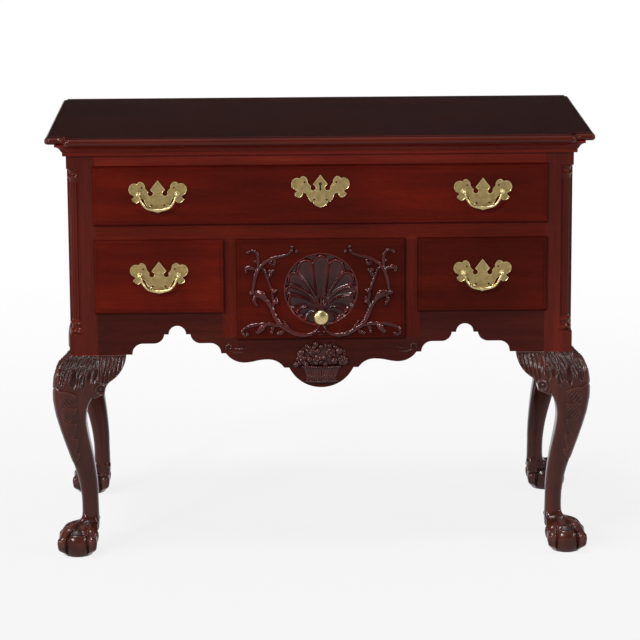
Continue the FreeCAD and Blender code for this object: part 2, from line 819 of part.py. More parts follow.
def make_apron():
    """The scrolled apron: coved arches with a small top lobe each side of a round pendant."""
    low = knee_line
    cove = S.arch_cove
    step = low + S.arch_step
    crown = step + S.arch_crown
    lobe = S.arch_lobe
    fillet = lobe * 1.5
    shoulder = S.arch_shoulder
    arch = post_inner - S.arch_inset
    foot = arch + S.arch_foot
    inner_foot = arch - S.arch_foot - 5.5
    shelf = low - S.pendant_shoulder

    def between(share):
        return S.pendant_half + (inner_foot - S.pendant_half) * share

    half = [
        (ZERO, centre_floor, None),
        (divider_outer, centre_floor, None),
        (divider_outer, side_floor, None),
        (post_inner, side_floor, None),
        (post_inner, low, None),
        (foot, low, None),
        (foot - cove, step, (cove, 1)),
        (arch + fillet + shoulder, step, None),
        (arch + fillet, crown, (shoulder, -1)),
        (arch + lobe, crown, None),
        (arch, crown + lobe, (lobe, 1)),
        (arch - lobe, crown, (lobe, 1)),
        (arch - fillet, crown, None),
        (arch - fillet - crown + step, step, (shoulder, -1)),
        (arch - S.arch_foot + 3.0 + cove, step, None),
        (arch - S.arch_foot + 3.0, low + 1, (cove, 1)),
        (inner_foot, low + 1, None),
        (between(0.714), low - 16.5, (sized(40.0), -1)),
        (between(0.524), low - 13.5, (sized(90.0), -1)),
        (between(0.335), low - 11.0, (sized(90.0), 1)),
        (between(0.079), shelf, (sized(35.0), 1)),
        (S.pendant_half, shelf, None),
        (ZERO, low - S.pendant_drop, (S.pendant_round, -1)),
    ]
    body = new_body("apron")
    sketch = draw(new_sketch(body, "XZ_Plane", (0, 0, -(case_front + S.apron_thickness))), both_halves(half))
    pad(body, sketch, S.apron_thickness)
    return body


# The quarter columns in the front corners

def make_columns():
    """Fluted shafts with turned capitals and bases, each a quarter of a round."""
    capitals = []
    bases = []
    shaft_low = column_bottom + S.base_height
    shaft_high = rail_under - S.capital_height
    for side, hand in ((-1, "left"), (1, "right")):
        axis_x = side * (case_half - S.column_notch)
        axis_y = case_front + S.column_notch
        shaft = new_body(hand + "_column")
        place = (axis_x, 0, -axis_y)
        outward = side
        section = box_path((ZERO, S.column_radius * outward), (shaft_low, shaft_high))
        turn(shaft, draw(new_sketch(shaft, "XZ_Plane", place), section), 90.0, side > 0)
        flutes = new_sketch(shaft, "XY_Plane", (axis_x, axis_y, (shaft_low + shaft_high) / 2))
        for index in range(5):
            angle = math.radians(9 + 18 * index)
            reach = S.column_radius + S.flute_radius * 0.25
            circle(flutes, side * math.cos(angle) * reach, -math.sin(angle) * reach, S.flute_radius)
        pocket(shaft, flutes, shaft_high - shaft_low - 8)
        keep(hand + "_column", shaft)
        capitals.append(turned_quarter(hand + "_capital", place, outward, side > 0, [
            (0.86, shaft_high), (0.86, shaft_high + 3), (0.96, shaft_high + 4.5), (0.86, shaft_high + 6),
            (0.86, shaft_high + 11), (0.98, shaft_high + 15), (0.98, rail_under)]))
        bases.append(turned_quarter(hand + "_base", place, outward, side > 0, [
            (0.98, column_bottom), (0.98, column_bottom + 11), (0.92, column_bottom + 13),
            (0.97, column_bottom + 16), (0.88, column_bottom + 19.5), (0.92, column_bottom + 22.5),
            (0.86, shaft_low)]))
    keep("column_capitals", gather("column_capitals", capitals))
    keep("column_bases", gather("column_bases", bases))


def turned_quarter(name, place, outward, reverse, profile):
    """A quarter round turned to a profile of (share of the notch, height) points."""
    body = new_body(name)
    path = [(ZERO, profile[0][1], None)]
    path += [(S.column_notch * share * outward, height, None) for share, height in profile]
    path.append((ZERO, profile[-1][1], None))
    turn(body, draw(new_sketch(body, "XZ_Plane", place), path), 90.0, reverse)
    return body


# The drawers: lipped fronts, dovetailed sides, a back over a bottom held in grooves

def make_drawer(name, left, right, floor, roof, fittings, tails):
    """One drawer for the opening between left and right, floor and roof."""
    low = floor + S.slide_gap
    high = roof - S.head_room
    box_left = left + S.side_play
    box_right = right - S.side_play
    box_back = back_inner - S.drawer_back_space
    tail_end = tongue_back - S.tail_length
    sheet_low = low + S.bottom_rise
    sheet_high = sheet_low + S.drawer_bottom
    inner_left = box_left + S.drawer_side
    inner_right = box_right - S.drawer_side
    bottom = board(name + "_bottom", (inner_left - S.groove_depth, inner_right + S.groove_depth),
                   (tongue_back - S.groove_depth, box_back), (sheet_low, sheet_high))
    sides = []
    for hand, near in (("left", box_left), ("right", inner_right)):
        side = new_body("%s_%s_side" % (name, hand))
        face = box_path((tail_end, box_back), (low, high))
        pad(side, draw(new_sketch(side, "YZ_Plane", (0, 0, near)), face), S.drawer_side)
        pins = new_sketch(side, "YZ_Plane", (0, 0, near))
        pitch = (high - low) / tails
        rear_tip = box_back - S.drawer_side
        for index in range(1, tails):
            middle = low + pitch * index
            wide = S.pin_width / 2
            thin = wide - S.tail_slope
            draw(pins, [(tail_end - 1, middle - thin, None), (tongue_back, middle - wide, None),
                        (tongue_back, middle + wide, None), (tail_end - 1, middle + thin, None)])
            if (middle - wide).value > sheet_high.value + 2:
                draw(pins, [(box_back + 1, middle - thin, None), (rear_tip, middle - wide, None),
                            (rear_tip, middle + wide, None), (box_back + 1, middle + thin, None)])
        pocket(side, pins)
        sides.append(cut_away("%s_%s_grooved" % (name, hand), side, bottom))
    front = new_body(name + "_front_board")
    lip = S.lip_overlap
    field = S.field_inset
    tongue = box_path((box_left, box_right), (low, high))
    pad(front, draw(new_sketch(front, "XZ_Plane", (0, 0, -tongue_back)), tongue), S.tongue_depth)
    lip_x = (left - lip, right + lip)
    lip_z = (floor - lip, roof + lip)
    plate = pad(front, draw(new_sketch(front, "XZ_Plane", (0, 0, -case_front)), box_path(lip_x, lip_z)),
                S.lip_thickness)
    round_over(front, plate, S.lip_round, flat_at("Y", lip_face))
    pad(front, draw(new_sketch(front, "XZ_Plane", (0, 0, -lip_face)),
                    box_path((lip_x[0] + field, lip_x[1] - field), (lip_z[0] + field, lip_z[1] - field))),
        S.field_rise)
    tools = list(sides) + [bottom] + fittings(front)
    keep(name + "_front", cut_away(name + "_front", front, *tools))
    keep(name + "_sides", gather(name + "_sides", sides))
    back = board(name + "_back_board", (box_left, box_right), (box_back - S.drawer_side, box_back),
                 (sheet_high, high - 4))
    keep(name + "_back", cut_away(name + "_back", back, *sides))
    keep(name + "_bottom", bottom)
    return (low + high) / 2


def drill(body, places, radius, level):
    """Holes bored through a front from its face."""
    sketch = new_sketch(body, "XZ_Plane", (0, 0, -level))
    for x, z in places:
        circle(sketch, x, z, radius)
    pocket(body, sketch)


# The brasses

PLATE_DRAWN = 103.0


def plate_outline():
    """The pierced plate's outline about the middle of its two posts."""
    unit = S.plate_width / PLATE_DRAWN
    half = [
        (0.0, 24.2, None), (13.1, 7.2, None), (9.3, 3.6, None), (12.9, -3.9, (4.6, -1)),
        (16.6, 3.4, (4.6, -1)), (22.4, 10.4, None), (29.5, 21.8, (11.0, 1)), (36.1, 17.4, (6.0, 1)),
        (50.9, 11.5, (10.0, 1)), (45.2, -2.1, (11.0, 1)), (41.2, -5.2, None), (46.2, -9.2, None),
        (36.3, -16.4, (9.0, 1)), (30.8, -7.5, (10.0, 1)), (25.0, -9.8, None), (17.0, -24.6, (40.0, 1)),
        (13.4, -22.6, None), (11.0, -27.6, (5.0, 1)), (11.0, -29.6, None), (0.0, -34.0, (30.0, 1)),
    ]
    path = []
    for x, z, bend in half:
        path.append((x * unit, z * unit, None if bend is None else (bend[0] * unit, -bend[1])))
    return both_halves(path)


def make_plate(name, x, z, holes):
    """A brass plate on a drawer front, with its pierced holes."""
    unit = S.plate_width / PLATE_DRAWN
    body = new_body(name)
    face = -field_face
    outline = shifted(plate_outline(), x, z)
    pad(body, draw(new_sketch(body, "XZ_Plane", (0, 0, face)), outline), S.plate_thickness)
    dots = new_sketch(body, "XZ_Plane", (0, 0, face))
    for across, up in ((28.2, 11.0), (11.4, -20.5)):
        for side in (-1, 1):
            circle(dots, x + unit * (side * across), z + unit * up, unit * 1.7)
    for hole_x, hole_z, radius in holes:
        circle(dots, hole_x, hole_z, radius)
    pocket(body, dots)
    return body


def make_post(name, x, z):
    """A handle post: a round head with an eye, a flange, a shank and a square nut behind the front."""
    plate_face = field_face - S.plate_thickness
    pivot = plate_face - S.bail_standoff
    tail = tongue_back + 5.0
    head = S.post_head
    neck = head * 0.64
    flange = head * 1.05
    shank = S.post_shank
    body = new_body(name + "_turned")
    path = [(ZERO, tail, None), (shank, tail, None), (shank, plate_face, None), (flange, plate_face, None),
            (flange, plate_face - 1.6, None), (neck, plate_face - 2.8, None),
            (neck, pivot + head * 0.768, None), (head, pivot, (head, -1)), (ZERO, pivot - head, (head, -1))]
    turn(body, draw(new_sketch(body, "XY_Plane", (x, 0, z)), path))
    eye = new_sketch(body, "YZ_Plane", (0, 0, x))
    circle(eye, pivot, z, S.bail_radius + S.bail_play)
    pocket(body, eye, head * 4)
    grip = S.nut_size / 2
    nut = board(name + "_nut", (x - grip, x + grip), (tongue_back, tongue_back + S.nut_thickness),
                (z - grip, z + grip))
    return join(name, body, nut)


def make_bail(name, x, z):
    """The swinging bail: a three-centred loop whose ends turn out into the posts' eyes."""
    pivot = field_face - S.plate_thickness - S.bail_standoff
    half = S.post_spacing / 2 - S.bail_inset
    bend = S.bail_bend
    elbow = sized(3.5)
    span = half - bend
    big = bend + span * 2.0
    low = -S.bail_drop
    centre_up = low + big
    small_up = centre_up - span * math.tan(math.radians(60))
    reach = S.post_spacing / 2 + 2.5
    bend_end = small_up - bend * math.sin(math.radians(60))
    left = [(-reach, ZERO, None), (-half - elbow, ZERO, None), (-half, -elbow, (elbow, -1)),
            (-half, small_up, None), (-span - bend * 0.5, bend_end, (bend, 1)), (ZERO, low, (big, 1))]
    right = []
    for index in range(len(left) - 2, -1, -1):
        right.append((-left[index][0], left[index][1], left[index + 1][2]))
    body = new_body(name)
    spine = draw(new_sketch(body, "XZ_Plane", (0, 0, -pivot)), shifted(left + right, x, z), closed=False)
    section = circle(new_sketch(body, "YZ_Plane", (0, 0, x - reach)), pivot, z, S.bail_radius)
    doc.recompute()
    pipe = body.newObject("PartDesign::AdditivePipe", name + "_pipe")
    pipe.Profile = section
    pipe.Spine = (spine, ["Edge%d" % (index + 1) for index in range(len(spine.Shape.Edges))])
    return keep(name, body)


def make_handle(name, x, z):
    """A plate, two posts and a bail."""
    places = [x - S.post_spacing / 2, x + S.post_spacing / 2]
    bores = [(place, z, S.post_shank + S.bore_play) for place in places]
    keep(name + "_plate", make_plate(name + "_plate", x, z, bores))
    posts = [make_post("%s_post_%d" % (name, index), place, z) for index, place in enumerate(places, start=1)]
    keep(name + "_posts", gather(name + "_posts", posts))
    make_bail(name + "_bail", x, z)


def keyhole(body, z, level):
    """A keyhole: a round eye over a slot."""
    eye = z + S.keyhole_rise
    half = S.keyhole_slot / 2
    drill(body, [(ZERO, eye)], S.keyhole_eye, level)
    slot = box_path((-half, half), (z - S.keyhole_drop, eye))
    pocket(body, draw(new_sketch(body, "XZ_Plane", (0, 0, -level)), slot))


def make_knob(z):
    """A turned brass knob with a shank through the front and a nut behind it."""
    body = new_body("knob_turned")
    face = field_face
    tail = tongue_back + 6.0
    radius = S.knob_radius
    reach = S.knob_reach
    shank = S.knob_shank
    path = [(ZERO, tail, None), (shank, tail, None), (shank, face, None), (radius * 0.72, face, None),
            (radius * 0.72, face - 2.0, None), (radius * 0.46, face - 5.0, None),
            (radius * 0.42, face - reach * 0.45, None),
            (radius, face - reach * 0.68, (radius * 0.9, 1)),
            (radius * 0.8, face - reach * 0.88, (radius * 0.45, -1)),
            (ZERO, face - reach, (radius * 2.6, -1))]
    turn(body, draw(new_sketch(body, "XY_Plane", (0, 0, z)), path))
    grip = S.knob_nut / 2
    nut = board("knob_nut", (-grip, grip), (tongue_back, tongue_back + 4.0), (z - grip, z + grip))
    return keep("shell_knob", join("shell_knob", body, nut))


def make_lock(drawer_top):
    """A drawer lock let into the back of the long drawer's front, with a bolt that lifts into the rail."""
    half = S.lock_width / 2
    low = drawer_top - S.lock_height
    case = board("lock_block", (-half, half), (tongue_back - S.lock_depth, tongue_back), (low, drawer_top))
    middle = tongue_back - S.lock_depth / 2
    play = S.lock_play
    wide = S.bolt_width / 2
    thick = S.bolt_thickness / 2
    bolt_top = drawer_top - 1.0
    bolt_low = bolt_top - S.bolt_length
    slot = board("lock_slot", (-wide - play, wide + play), (middle - thick - play, middle + thick + play),
                 (bolt_low - play, drawer_top + 1.0))
    keep("lock_case", cut_away("lock_case", case, slot))
    through = (middle - thick, middle + thick)
    keep("lock_bolt", board("lock_bolt", (-wide, wide), through, (bolt_low, bolt_top)))
    return board("lock_recess", (-half, half), (tongue_back - S.lock_depth, tongue_back + 1.0),
                 (low, drawer_top + 1.0))


def make_drawers():
    """The four drawers and everything fixed to them."""
    drawer_top = rail_under - S.head_room
    upper_middle = (upper_floor + S.slide_gap + drawer_top) / 2
    lower_middle = (side_floor + S.slide_gap + lower_roof - S.head_room) / 2
    upper_handle = upper_middle + S.handle_rise
    lower_handle = lower_middle + S.handle_rise
    keyhole_place = upper_middle + S.escutcheon_rise
    recess = make_lock(drawer_top)

    def post_holes(x, z):
        return [(x - S.post_spacing / 2, z), (x + S.post_spacing / 2, z)]

    def upper_fittings(front):
        drill(front, post_holes(-handle_place, upper_handle) + post_holes(handle_place, upper_handle),
              S.post_shank + S.bore_play, case_front)
        keyhole(front, keyhole_place, case_front)
        return [recess]

    def side_fittings(side):
        def fit(front):
            holes = post_holes(side * handle_place, lower_handle)
            drill(front, holes, S.post_shank + S.bore_play, case_front)
            return []
        return fit

    def centre_fittings(front):
        drill(front, [(ZERO, knob_height)], S.knob_shank + S.bore_play, case_front)
        dish = doc.addObject("Part::Sphere", "shell_dish")
        radius = (S.shell_radius * S.shell_radius + S.shell_depth * S.shell_depth) / (S.shell_depth * 2)
        dish.setExpression("Radius", radius.text)
        dish.setExpression("Placement.Base.y", (field_face + S.shell_depth - radius).text)
        dish.setExpression("Placement.Base.z", ((centre_floor + lower_roof) / 2).text)
        return [dish]

    make_drawer("long_drawer", -post_inner, post_inner, upper_floor, rail_under, upper_fittings, 4)
    make_drawer("left_drawer", -post_inner, -divider_outer, side_floor, lower_roof, side_fittings(-1), 5)
    make_drawer("centre_drawer", -centre_half, centre_half, centre_floor, lower_roof, centre_fittings, 6)
    make_drawer("right_drawer", divider_outer, post_inner, side_floor, lower_roof, side_fittings(1), 5)
    for name, x, z in (("upper_left_handle", -handle_place, upper_handle),
                       ("upper_right_handle", handle_place, upper_handle),
                       ("lower_left_handle", -handle_place, lower_handle),
                       ("lower_right_handle", handle_place, lower_handle)):
        make_handle(name, x, z)
    escutcheon = make_plate("escutcheon", ZERO, keyhole_place, [])
    keyhole(escutcheon, keyhole_place, field_face)
    keep("escutcheon", escutcheon)
    make_knob(knob_height)


make_top()
make_bed_moulding()
make_case()
make_legs()
make_columns()
make_drawers()
doc.recompute()

faults = []
for item in doc.Objects:
    if "Invalid" in item.State or "Error" in item.State:
        faults.append(item.Label)
for piece in nodes:
    if piece.Shape.isNull() or not piece.Shape.isValid() or not piece.Shape.Solids:
        faults.append(piece.Label)
if faults:
    raise RuntimeError("these pieces did not build: " + ", ".join(faults))

os.makedirs("parts", exist_ok=True)
for piece in nodes:
    piece.Shape.exportStep("parts/%s.step" % piece.Label)
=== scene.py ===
"""The looks of a carved mahogany lowboy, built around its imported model.

Lengths are in metres and carving sizes in millimetres. The floor is Z = 0 and the front faces -Y.
"""

import math
import random

import bmesh
import bpy
from mathutils import Matrix, Vector


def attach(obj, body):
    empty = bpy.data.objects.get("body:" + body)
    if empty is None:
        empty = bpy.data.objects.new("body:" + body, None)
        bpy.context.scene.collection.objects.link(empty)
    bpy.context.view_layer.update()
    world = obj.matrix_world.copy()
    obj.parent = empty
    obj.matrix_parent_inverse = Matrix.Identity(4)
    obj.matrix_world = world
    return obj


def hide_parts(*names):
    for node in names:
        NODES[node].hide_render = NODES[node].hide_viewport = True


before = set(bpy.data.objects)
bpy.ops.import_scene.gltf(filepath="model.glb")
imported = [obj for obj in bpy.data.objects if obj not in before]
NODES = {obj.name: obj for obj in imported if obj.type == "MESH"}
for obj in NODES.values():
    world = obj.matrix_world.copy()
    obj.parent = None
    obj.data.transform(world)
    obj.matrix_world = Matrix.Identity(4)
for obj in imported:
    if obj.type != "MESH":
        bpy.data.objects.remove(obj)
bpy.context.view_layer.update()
SCENE = bpy.context.scene
MM = 0.001

# Sizes and places of the solids that the looks follow, in mm
CASE_SIDE = 450.0
CASE_FRONT = -221.0
CASE_BACK = 225.0
DRAWER_FACE = -229.2
POST_WIDTH = 50.0
KNEE_LINE = 371.0
FOOT_SIDE = 444.0
FOOT_PLACES = {"front": -215.0, "rear": 219.0}
BALL_RADIUS = 35.0
BALL_MIDDLE = 24.0
BALL_HALF_HEIGHT = 34.2
COLUMN_SIDE = 428.0
COLUMN_PLACE = -199.0
PULL_SIDE = 288.25
PULL_PLACE = -242.2
PULL_HEIGHTS = {"upper": 664.45, "lower": 517.95}
# The range of the relief that a carved piece notes for its finish, from hollows to ridges
RELIEF_LOW, RELIEF_HIGH = -1.0, 0.6
# How much of a hollow's depth in mm goes into that note, and the turns of smoothing that find hollows
HOLLOW_SHARE, HOLLOW_TURNS = 1.6, 8
# Vertices closer than this are one, in metres
JOIN = 0.00001


# Finishes

# Lengths and widths of the wood's streaks and pores, and the size of its slow clouds, in mm
STREAK = (110, 3.2)
PORE = (14, 0.9)
CLOUD = 240
# Sizes of the tarnish marks and the fine grit on brass, in mm
MOTTLE = 7
GRIT = 1.6


def linear(shade):
    """An sRGB hex colour as a linear colour with full alpha."""
    parts = [int(shade[index:index + 2], 16) / 255 for index in (1, 3, 5)]
    return [p / 12.92 if p <= 0.04045 else ((p + 0.055) / 1.055) ** 2.4 for p in parts] + [1.0]


def add(tree, kind, inputs=None, **settings):
    """Add a node, with its settings, and set or link its inputs."""
    node = tree.nodes.new(kind)
    for name, value in settings.items():
        setattr(node, name, value)
    for name, value in (inputs or {}).items():
        if isinstance(value, bpy.types.NodeSocket):
            tree.links.new(value, node.inputs[name])
        else:
            node.inputs[name].default_value = value
    return node


def new_finish(name):
    """An empty material and its node tree."""
    material = bpy.data.materials.new(name)
    material.use_nodes = True
    material.node_tree.nodes.clear()
    return material, material.node_tree


def wood(name, grain, stops, polish, gloss, figure=(260, 17), streaky=0.42, pore_shade=0.8, carved=False,
         flat=None, flat_shade=1.0, edge_shade=1.0):
    """Straight-grained wood: slow figure, finer streaks and short pores along the grain, under polish.

    The figure's length and width are in mm. Real pores are about 0.3 mm wide; they are drawn 0.9 mm wide
    so that they show. Where a board faces along the flat axis it takes the flat shade, and elsewhere the
    edge shade: painted shade by which way a face turns. On carved wood, hollows are darker, as painted
    shade, and duller, and ridges a little paler, as painted highlight.
    """
    material, tree = new_finish(name)
    place = add(tree, "ShaderNodeTexCoord").outputs["Object"]
    layers = []
    for (along, across), detail in ((figure, 3), (STREAK, 2), (PORE, 0)):
        scale = [1 / (across * MM)] * 3
        scale["XYZ".index(grain)] = 1 / (along * MM)
        stretched = add(tree, "ShaderNodeMapping", {"Vector": place, "Scale": scale})
        noise = add(tree, "ShaderNodeTexNoise", {"Vector": stretched.outputs[0], "Scale": 1.0,
                                                 "Detail": detail})
        layers.append(noise.outputs["Fac"])
    bands, streaks, pores = layers
    slow = add(tree, "ShaderNodeTexNoise", {"Vector": place, "Scale": 1 / (CLOUD * MM), "Detail": 1.0})
    tone = add(tree, "ShaderNodeMix", {0: streaky, 2: bands, 3: streaks})
    tone = add(tree, "ShaderNodeMix", {0: 0.35, 2: tone.outputs[0], 3: slow.outputs["Fac"]})
    ramp = add(tree, "ShaderNodeValToRGB", {"Fac": tone.outputs[0]})
    ramp.color_ramp.elements.new(0.5)
    for element, spot, shade in zip(ramp.color_ramp.elements, (0.32, 0.5, 0.68), stops):
        element.position = spot
        element.color = linear(shade)
    dashes = add(tree, "ShaderNodeMapRange", {"Value": pores, "From Min": 0.3, "From Max": 0.46,
                                              "To Min": pore_shade, "To Max": 1.0})
    factors = [dashes.outputs["Result"]]
    # Painted shade in the carving's hollows and a painted highlight on its ridges, from the noted relief
    if carved:
        relief = add(tree, "ShaderNodeAttribute", attribute_name="relief").outputs["Fac"]
        depth = add(tree, "ShaderNodeMapRange", {"Value": relief, "From Min": RELIEF_LOW,
                                                 "From Max": RELIEF_HIGH, "To Min": 0.25, "To Max": 1.25})
        factors.append(depth.outputs["Result"])
    # Painted shade by which way a face turns: it darkens the top's upward flat and edges, and the fronts'
    # rounded lips
    if flat:
        normal = add(tree, "ShaderNodeNewGeometry").outputs["Normal"]
        turned = add(tree, "ShaderNodeSeparateXYZ", {0: normal}).outputs[flat]
        level = add(tree, "ShaderNodeMath", {0: turned}, operation="ABSOLUTE").outputs[0]
        facing_shade = add(tree, "ShaderNodeMapRange", {"Value": level, "From Min": 0.85, "From Max": 0.98,
                                                "To Min": edge_shade, "To Max": flat_shade})
        factors.append(facing_shade.outputs["Result"])
    colour = ramp.outputs["Color"]
    for factor in factors:
        colour = add(tree, "ShaderNodeMix", {0: 1.0, 6: colour, 7: factor}, data_type="RGBA",
                     blend_type="MULTIPLY").outputs[2]
    # A faint painted highlight: the highest ridges are mixed toward a pale tint
    if carved:
        painted_ridge_highlight = add(tree, "ShaderNodeMapRange", {"Value": relief, "From Min": 0.25,
                                                  "From Max": RELIEF_HIGH, "To Min": 0.0, "To Max": 0.06})
        colour = add(tree, "ShaderNodeMix", {0: painted_ridge_highlight.outputs["Result"], 6: colour, 7: linear(RIDGE_HIGHLIGHT_TINT)},
                     data_type="RGBA").outputs[2]
    rough = add(tree, "ShaderNodeMapRange", {"Value": streaks, "From Min": 0.3, "From Max": 0.7,
                                             "To Min": polish - 0.03, "To Max": polish + 0.04})
    shine = rough.outputs["Result"]
    if carved:
        waxed = add(tree, "ShaderNodeMapRange", {"Value": relief, "From Min": RELIEF_LOW, "From Max": -0.5,
                                                 "To Min": 0.2, "To Max": 0.0})
        shine = add(tree, "ShaderNodeMath", {0: shine, 1: waxed.outputs["Result"]}).outputs[0]
    bump = add(tree, "ShaderNodeBump", {"Strength": 0.06, "Distance": 0.2 * MM, "Height": pores})
    surface = add(tree, "ShaderNodeBsdfPrincipled", {
        "Base Color": colour, "Roughness": shine, "Normal": bump.outputs["Normal"],
        "IOR": 1.5, "Specular IOR Level": gloss})
    add(tree, "ShaderNodeOutputMaterial", {"Surface": surface.outputs[0]})
    return material


def brass(name, dark, light, polish):
    """Cast brass under old lacquer: a faint mottle of tarnish, and soft reflections."""
    material, tree = new_finish(name)
    place = add(tree, "ShaderNodeTexCoord").outputs["Object"]
    mottle = add(tree, "ShaderNodeTexNoise", {"Vector": place, "Scale": 1 / (MOTTLE * MM), "Detail": 4.0})
    grit = add(tree, "ShaderNodeTexNoise", {"Vector": place, "Scale": 1 / (GRIT * MM), "Detail": 2.0})
    share = add(tree, "ShaderNodeMapRange", {"Value": mottle.outputs["Fac"], "From Min": 0.3,
                                             "From Max": 0.68})
    colour = add(tree, "ShaderNodeMix", {0: share.outputs["Result"], 6: linear(dark), 7: linear(light)},
                 data_type="RGBA")
    specks = grit.outputs["Fac"]
    rough = add(tree, "ShaderNodeMapRange", {"Value": specks, "From Min": 0.3, "From Max": 0.7,
                                             "To Min": polish - 0.06, "To Max": polish + 0.1})
    bump = add(tree, "ShaderNodeBump", {"Strength": 0.05, "Distance": 0.3 * MM, "Height": specks})
    surface = add(tree, "ShaderNodeBsdfPrincipled", {
        "Base Color": colour.outputs[2], "Metallic": 1.0, "Roughness": rough.outputs["Result"],
        "Normal": bump.outputs["Normal"]})
    add(tree, "ShaderNodeOutputMaterial", {"Surface": surface.outputs[0]})
    return material


RED = ("#390c07", "#4b1109", "#60170b")
# A darker copy of the front red: on the right board it is painted shade, where the light falls off
DARK_RED = ("#2f0a06", "#3e0e07", "#4f130a")
RAIL = ("#3d0d07", "#4e140a", "#5e1b0e")
TOP = ("#360d08", "#47130b", "#55190f")
BED = ("#4c1208", "#60180d", "#722212")
POST = ("#380f0b", "#4a150d", "#591c14")
APRON = ("#2a0c07", "#38110c", "#45180f")
LEG = ("#2b100b", "#3a1710", "#471f17")
CARVING = ("#300908", "#420f0c", "#521612")
PALE = ("#8d6a3f", "#ab8856", "#c3a370")
# The pale tint of the painted highlight on the carving's ridges
RIDGE_HIGHLIGHT_TINT = "#98827c"

FINISH = {}
for axis in "XY":
    # Bare planed wood inside the case: pale, dull, with open grain
    FINISH["pale" + axis] = wood("planed_poplar_" + axis, axis, PALE, 0.6, 0.3)
# Rails: the plain red of the case
FINISH["rail"] = wood("polished_mahogany_level", "X", RAIL, 0.18, 0.05)
# The moulding under the top and the rail below it: a lighter, warmer red, painted light that lifts them
# out of the shade under the top's overhang
FINISH["bed"] = wood("polished_mahogany_moulding", "X", BED, 0.15, 0.08)
# Posts and columns: darker, with upright grain and thin lights on the flutes
FINISH["post"] = wood("polished_mahogany_upright", "Z", POST, 0.14, 0.08)
# Dividers: a shade darker than the rails, with upright grain
FINISH["divider"] = wood("polished_mahogany_divider", "Z", TOP, 0.18, 0.05)
# The sides' wide boards
FINISH["side"] = wood("polished_mahogany_side", "Y", POST, 0.18, 0.05, figure=(300, 30))
# Drawer fronts: deep red with a soft, cloudy figure and painted shade on their rounded lips; the right and
# centre boards are darker, the right one as painted shade where the light falls off
for name, stops in (("front", RED), ("dark_front", DARK_RED)):
    FINISH[name] = wood("figured_mahogany_" + name, "X", stops, 0.18, 0.03, figure=(300, 34), streaky=0.22,
                        flat="Y", edge_shade=0.75)
# The top: red at its edge, with a little painted shade there, and painted shade that makes its upward
# flat almost black-brown, as under a dim room
FINISH["top"] = wood("dark_polished_mahogany", "X", TOP, 0.1, 0.17, figure=(400, 30), streaky=0.2,
                     flat="Z", flat_shade=0.25, edge_shade=0.85)
# The apron: dark red-brown
FINISH["apron"] = wood("shaded_mahogany", "X", APRON, 0.18, 0.06, streaky=0.25)
# Legs: browner than the case, with painted shade in the cuts, a faint painted highlight on the ridges,
# and sharp lights on the carving
FINISH["leg"] = wood("carved_mahogany_upright", "Z", LEG, 0.19, 0.22, streaky=0.2, pore_shade=0.92,
                     carved=True)
# The shell and the vines: redder than the legs, with stronger lights, painted shade in the hollows
# and a faint painted highlight on the ridges
FINISH["carving"] = wood("carved_mahogany_level", "X", CARVING, 0.15, 0.3, streaky=0.2, pore_shade=0.92,
                         carved=True)
# The basket on the apron: as dark as the board behind it, with small lights
FINISH["pendant"] = wood("carved_mahogany_pendant", "X", APRON, 0.16, 0.3, streaky=0.2, pore_shade=0.92)
# Brass: dull gold on the flats, brighter where hands and bevels polish it
FINISH["brass"] = brass("lacquered_brass", "#8c794d", "#a49063", 0.48)
FINISH["bright_brass"] = brass("polished_brass", "#b8a46e", "#cebd8c", 0.28)


def finish_for(node):
    """The finish of a node that keeps its own shape."""
    if node.endswith("_plate") or node in ("escutcheon", "lock_case", "lock_bolt"):
        return "brass"
    if node.endswith(("_posts", "_bail")) or node == "shell_knob":
        return "bright_brass"
    if node in ("top_board", "apron"):
        return node.split("_")[0]
    if node.endswith("_drawer_front"):
        return "dark_front" if node.startswith(("right", "centre")) else "front"
    if any(word in node for word in ("drawer_sides", "runners", "partition", "glue_blocks")):
        return "paleY"
    if node.endswith(("_drawer_back", "_drawer_bottom")) or node in ("back_panel", "top_rail_core"):
        return "paleX"
    if node.endswith("_leg") or "knee_brackets" in node:
        return "leg"
    if "column" in node:
        return "post"
    if "divider" in node:
        return "divider"
    if "side_panel" in node:
        return "side"
    if node == "top_rail":
        return "bed"
    return "rail"


for name, thing in NODES.items():
    thing.data.materials.clear()
    thing.data.materials.append(FINISH[finish_for(name)])


# Making pieces

def from_cad(node):
    """A copy of a node's mesh, with its loose triangles joined."""
    bm = bmesh.new()
    bm.from_mesh(NODES[node].data)
    bmesh.ops.remove_doubles(bm, verts=bm.verts, dist=JOIN)
    return bm


def add_piece(name, bm, body, finish, stands_for=(), *, crease, flats=False):
    """Turn a mesh into a named piece that rides on a body, with its large flats shaded flat if asked.

    Edges that bend by more than the crease, in degrees, are shaded sharp.
    """
    mesh = bpy.data.meshes.new(name)
    bm.to_mesh(mesh)
    bm.free()
    mesh.shade_smooth()
    mesh.set_sharp_from_angle(angle=math.radians(crease))
    mesh.materials.append(FINISH[finish])
    obj = bpy.data.objects.new(name, mesh)
    SCENE.collection.objects.link(obj)
    if flats:
        modifier = obj.modifiers.new("flats", "WEIGHTED_NORMAL")
        modifier.weight = 100
        modifier.keep_sharp = True
    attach(obj, body)
    if stands_for:
        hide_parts(*stands_for)
    return obj


def smooth_step(low, high, value):
    """0 below low, 1 above high, and a soft rise between."""
    share = min(max((value - low) / (high - low), 0.0), 1.0)
    return share * share * (3 - 2 * share)


def bell(distance, width):
    """A soft bump of height 1."""
    return math.exp(-(distance / width) ** 2)


def gouge(phase):
    """A scooped channel for each whole step of the phase: 0 on the sharp ridges, 1 in the middle."""
    across = 2 * (phase - math.floor(phase)) - 1
    return math.sqrt(1 - across * across)


# The stage: a wide pale floor that turns up at its far rim, daylight from above, and five soft lamps

FLOOR_RADIUS = 30.0
FLOOR_DROP = 0.3 * MM
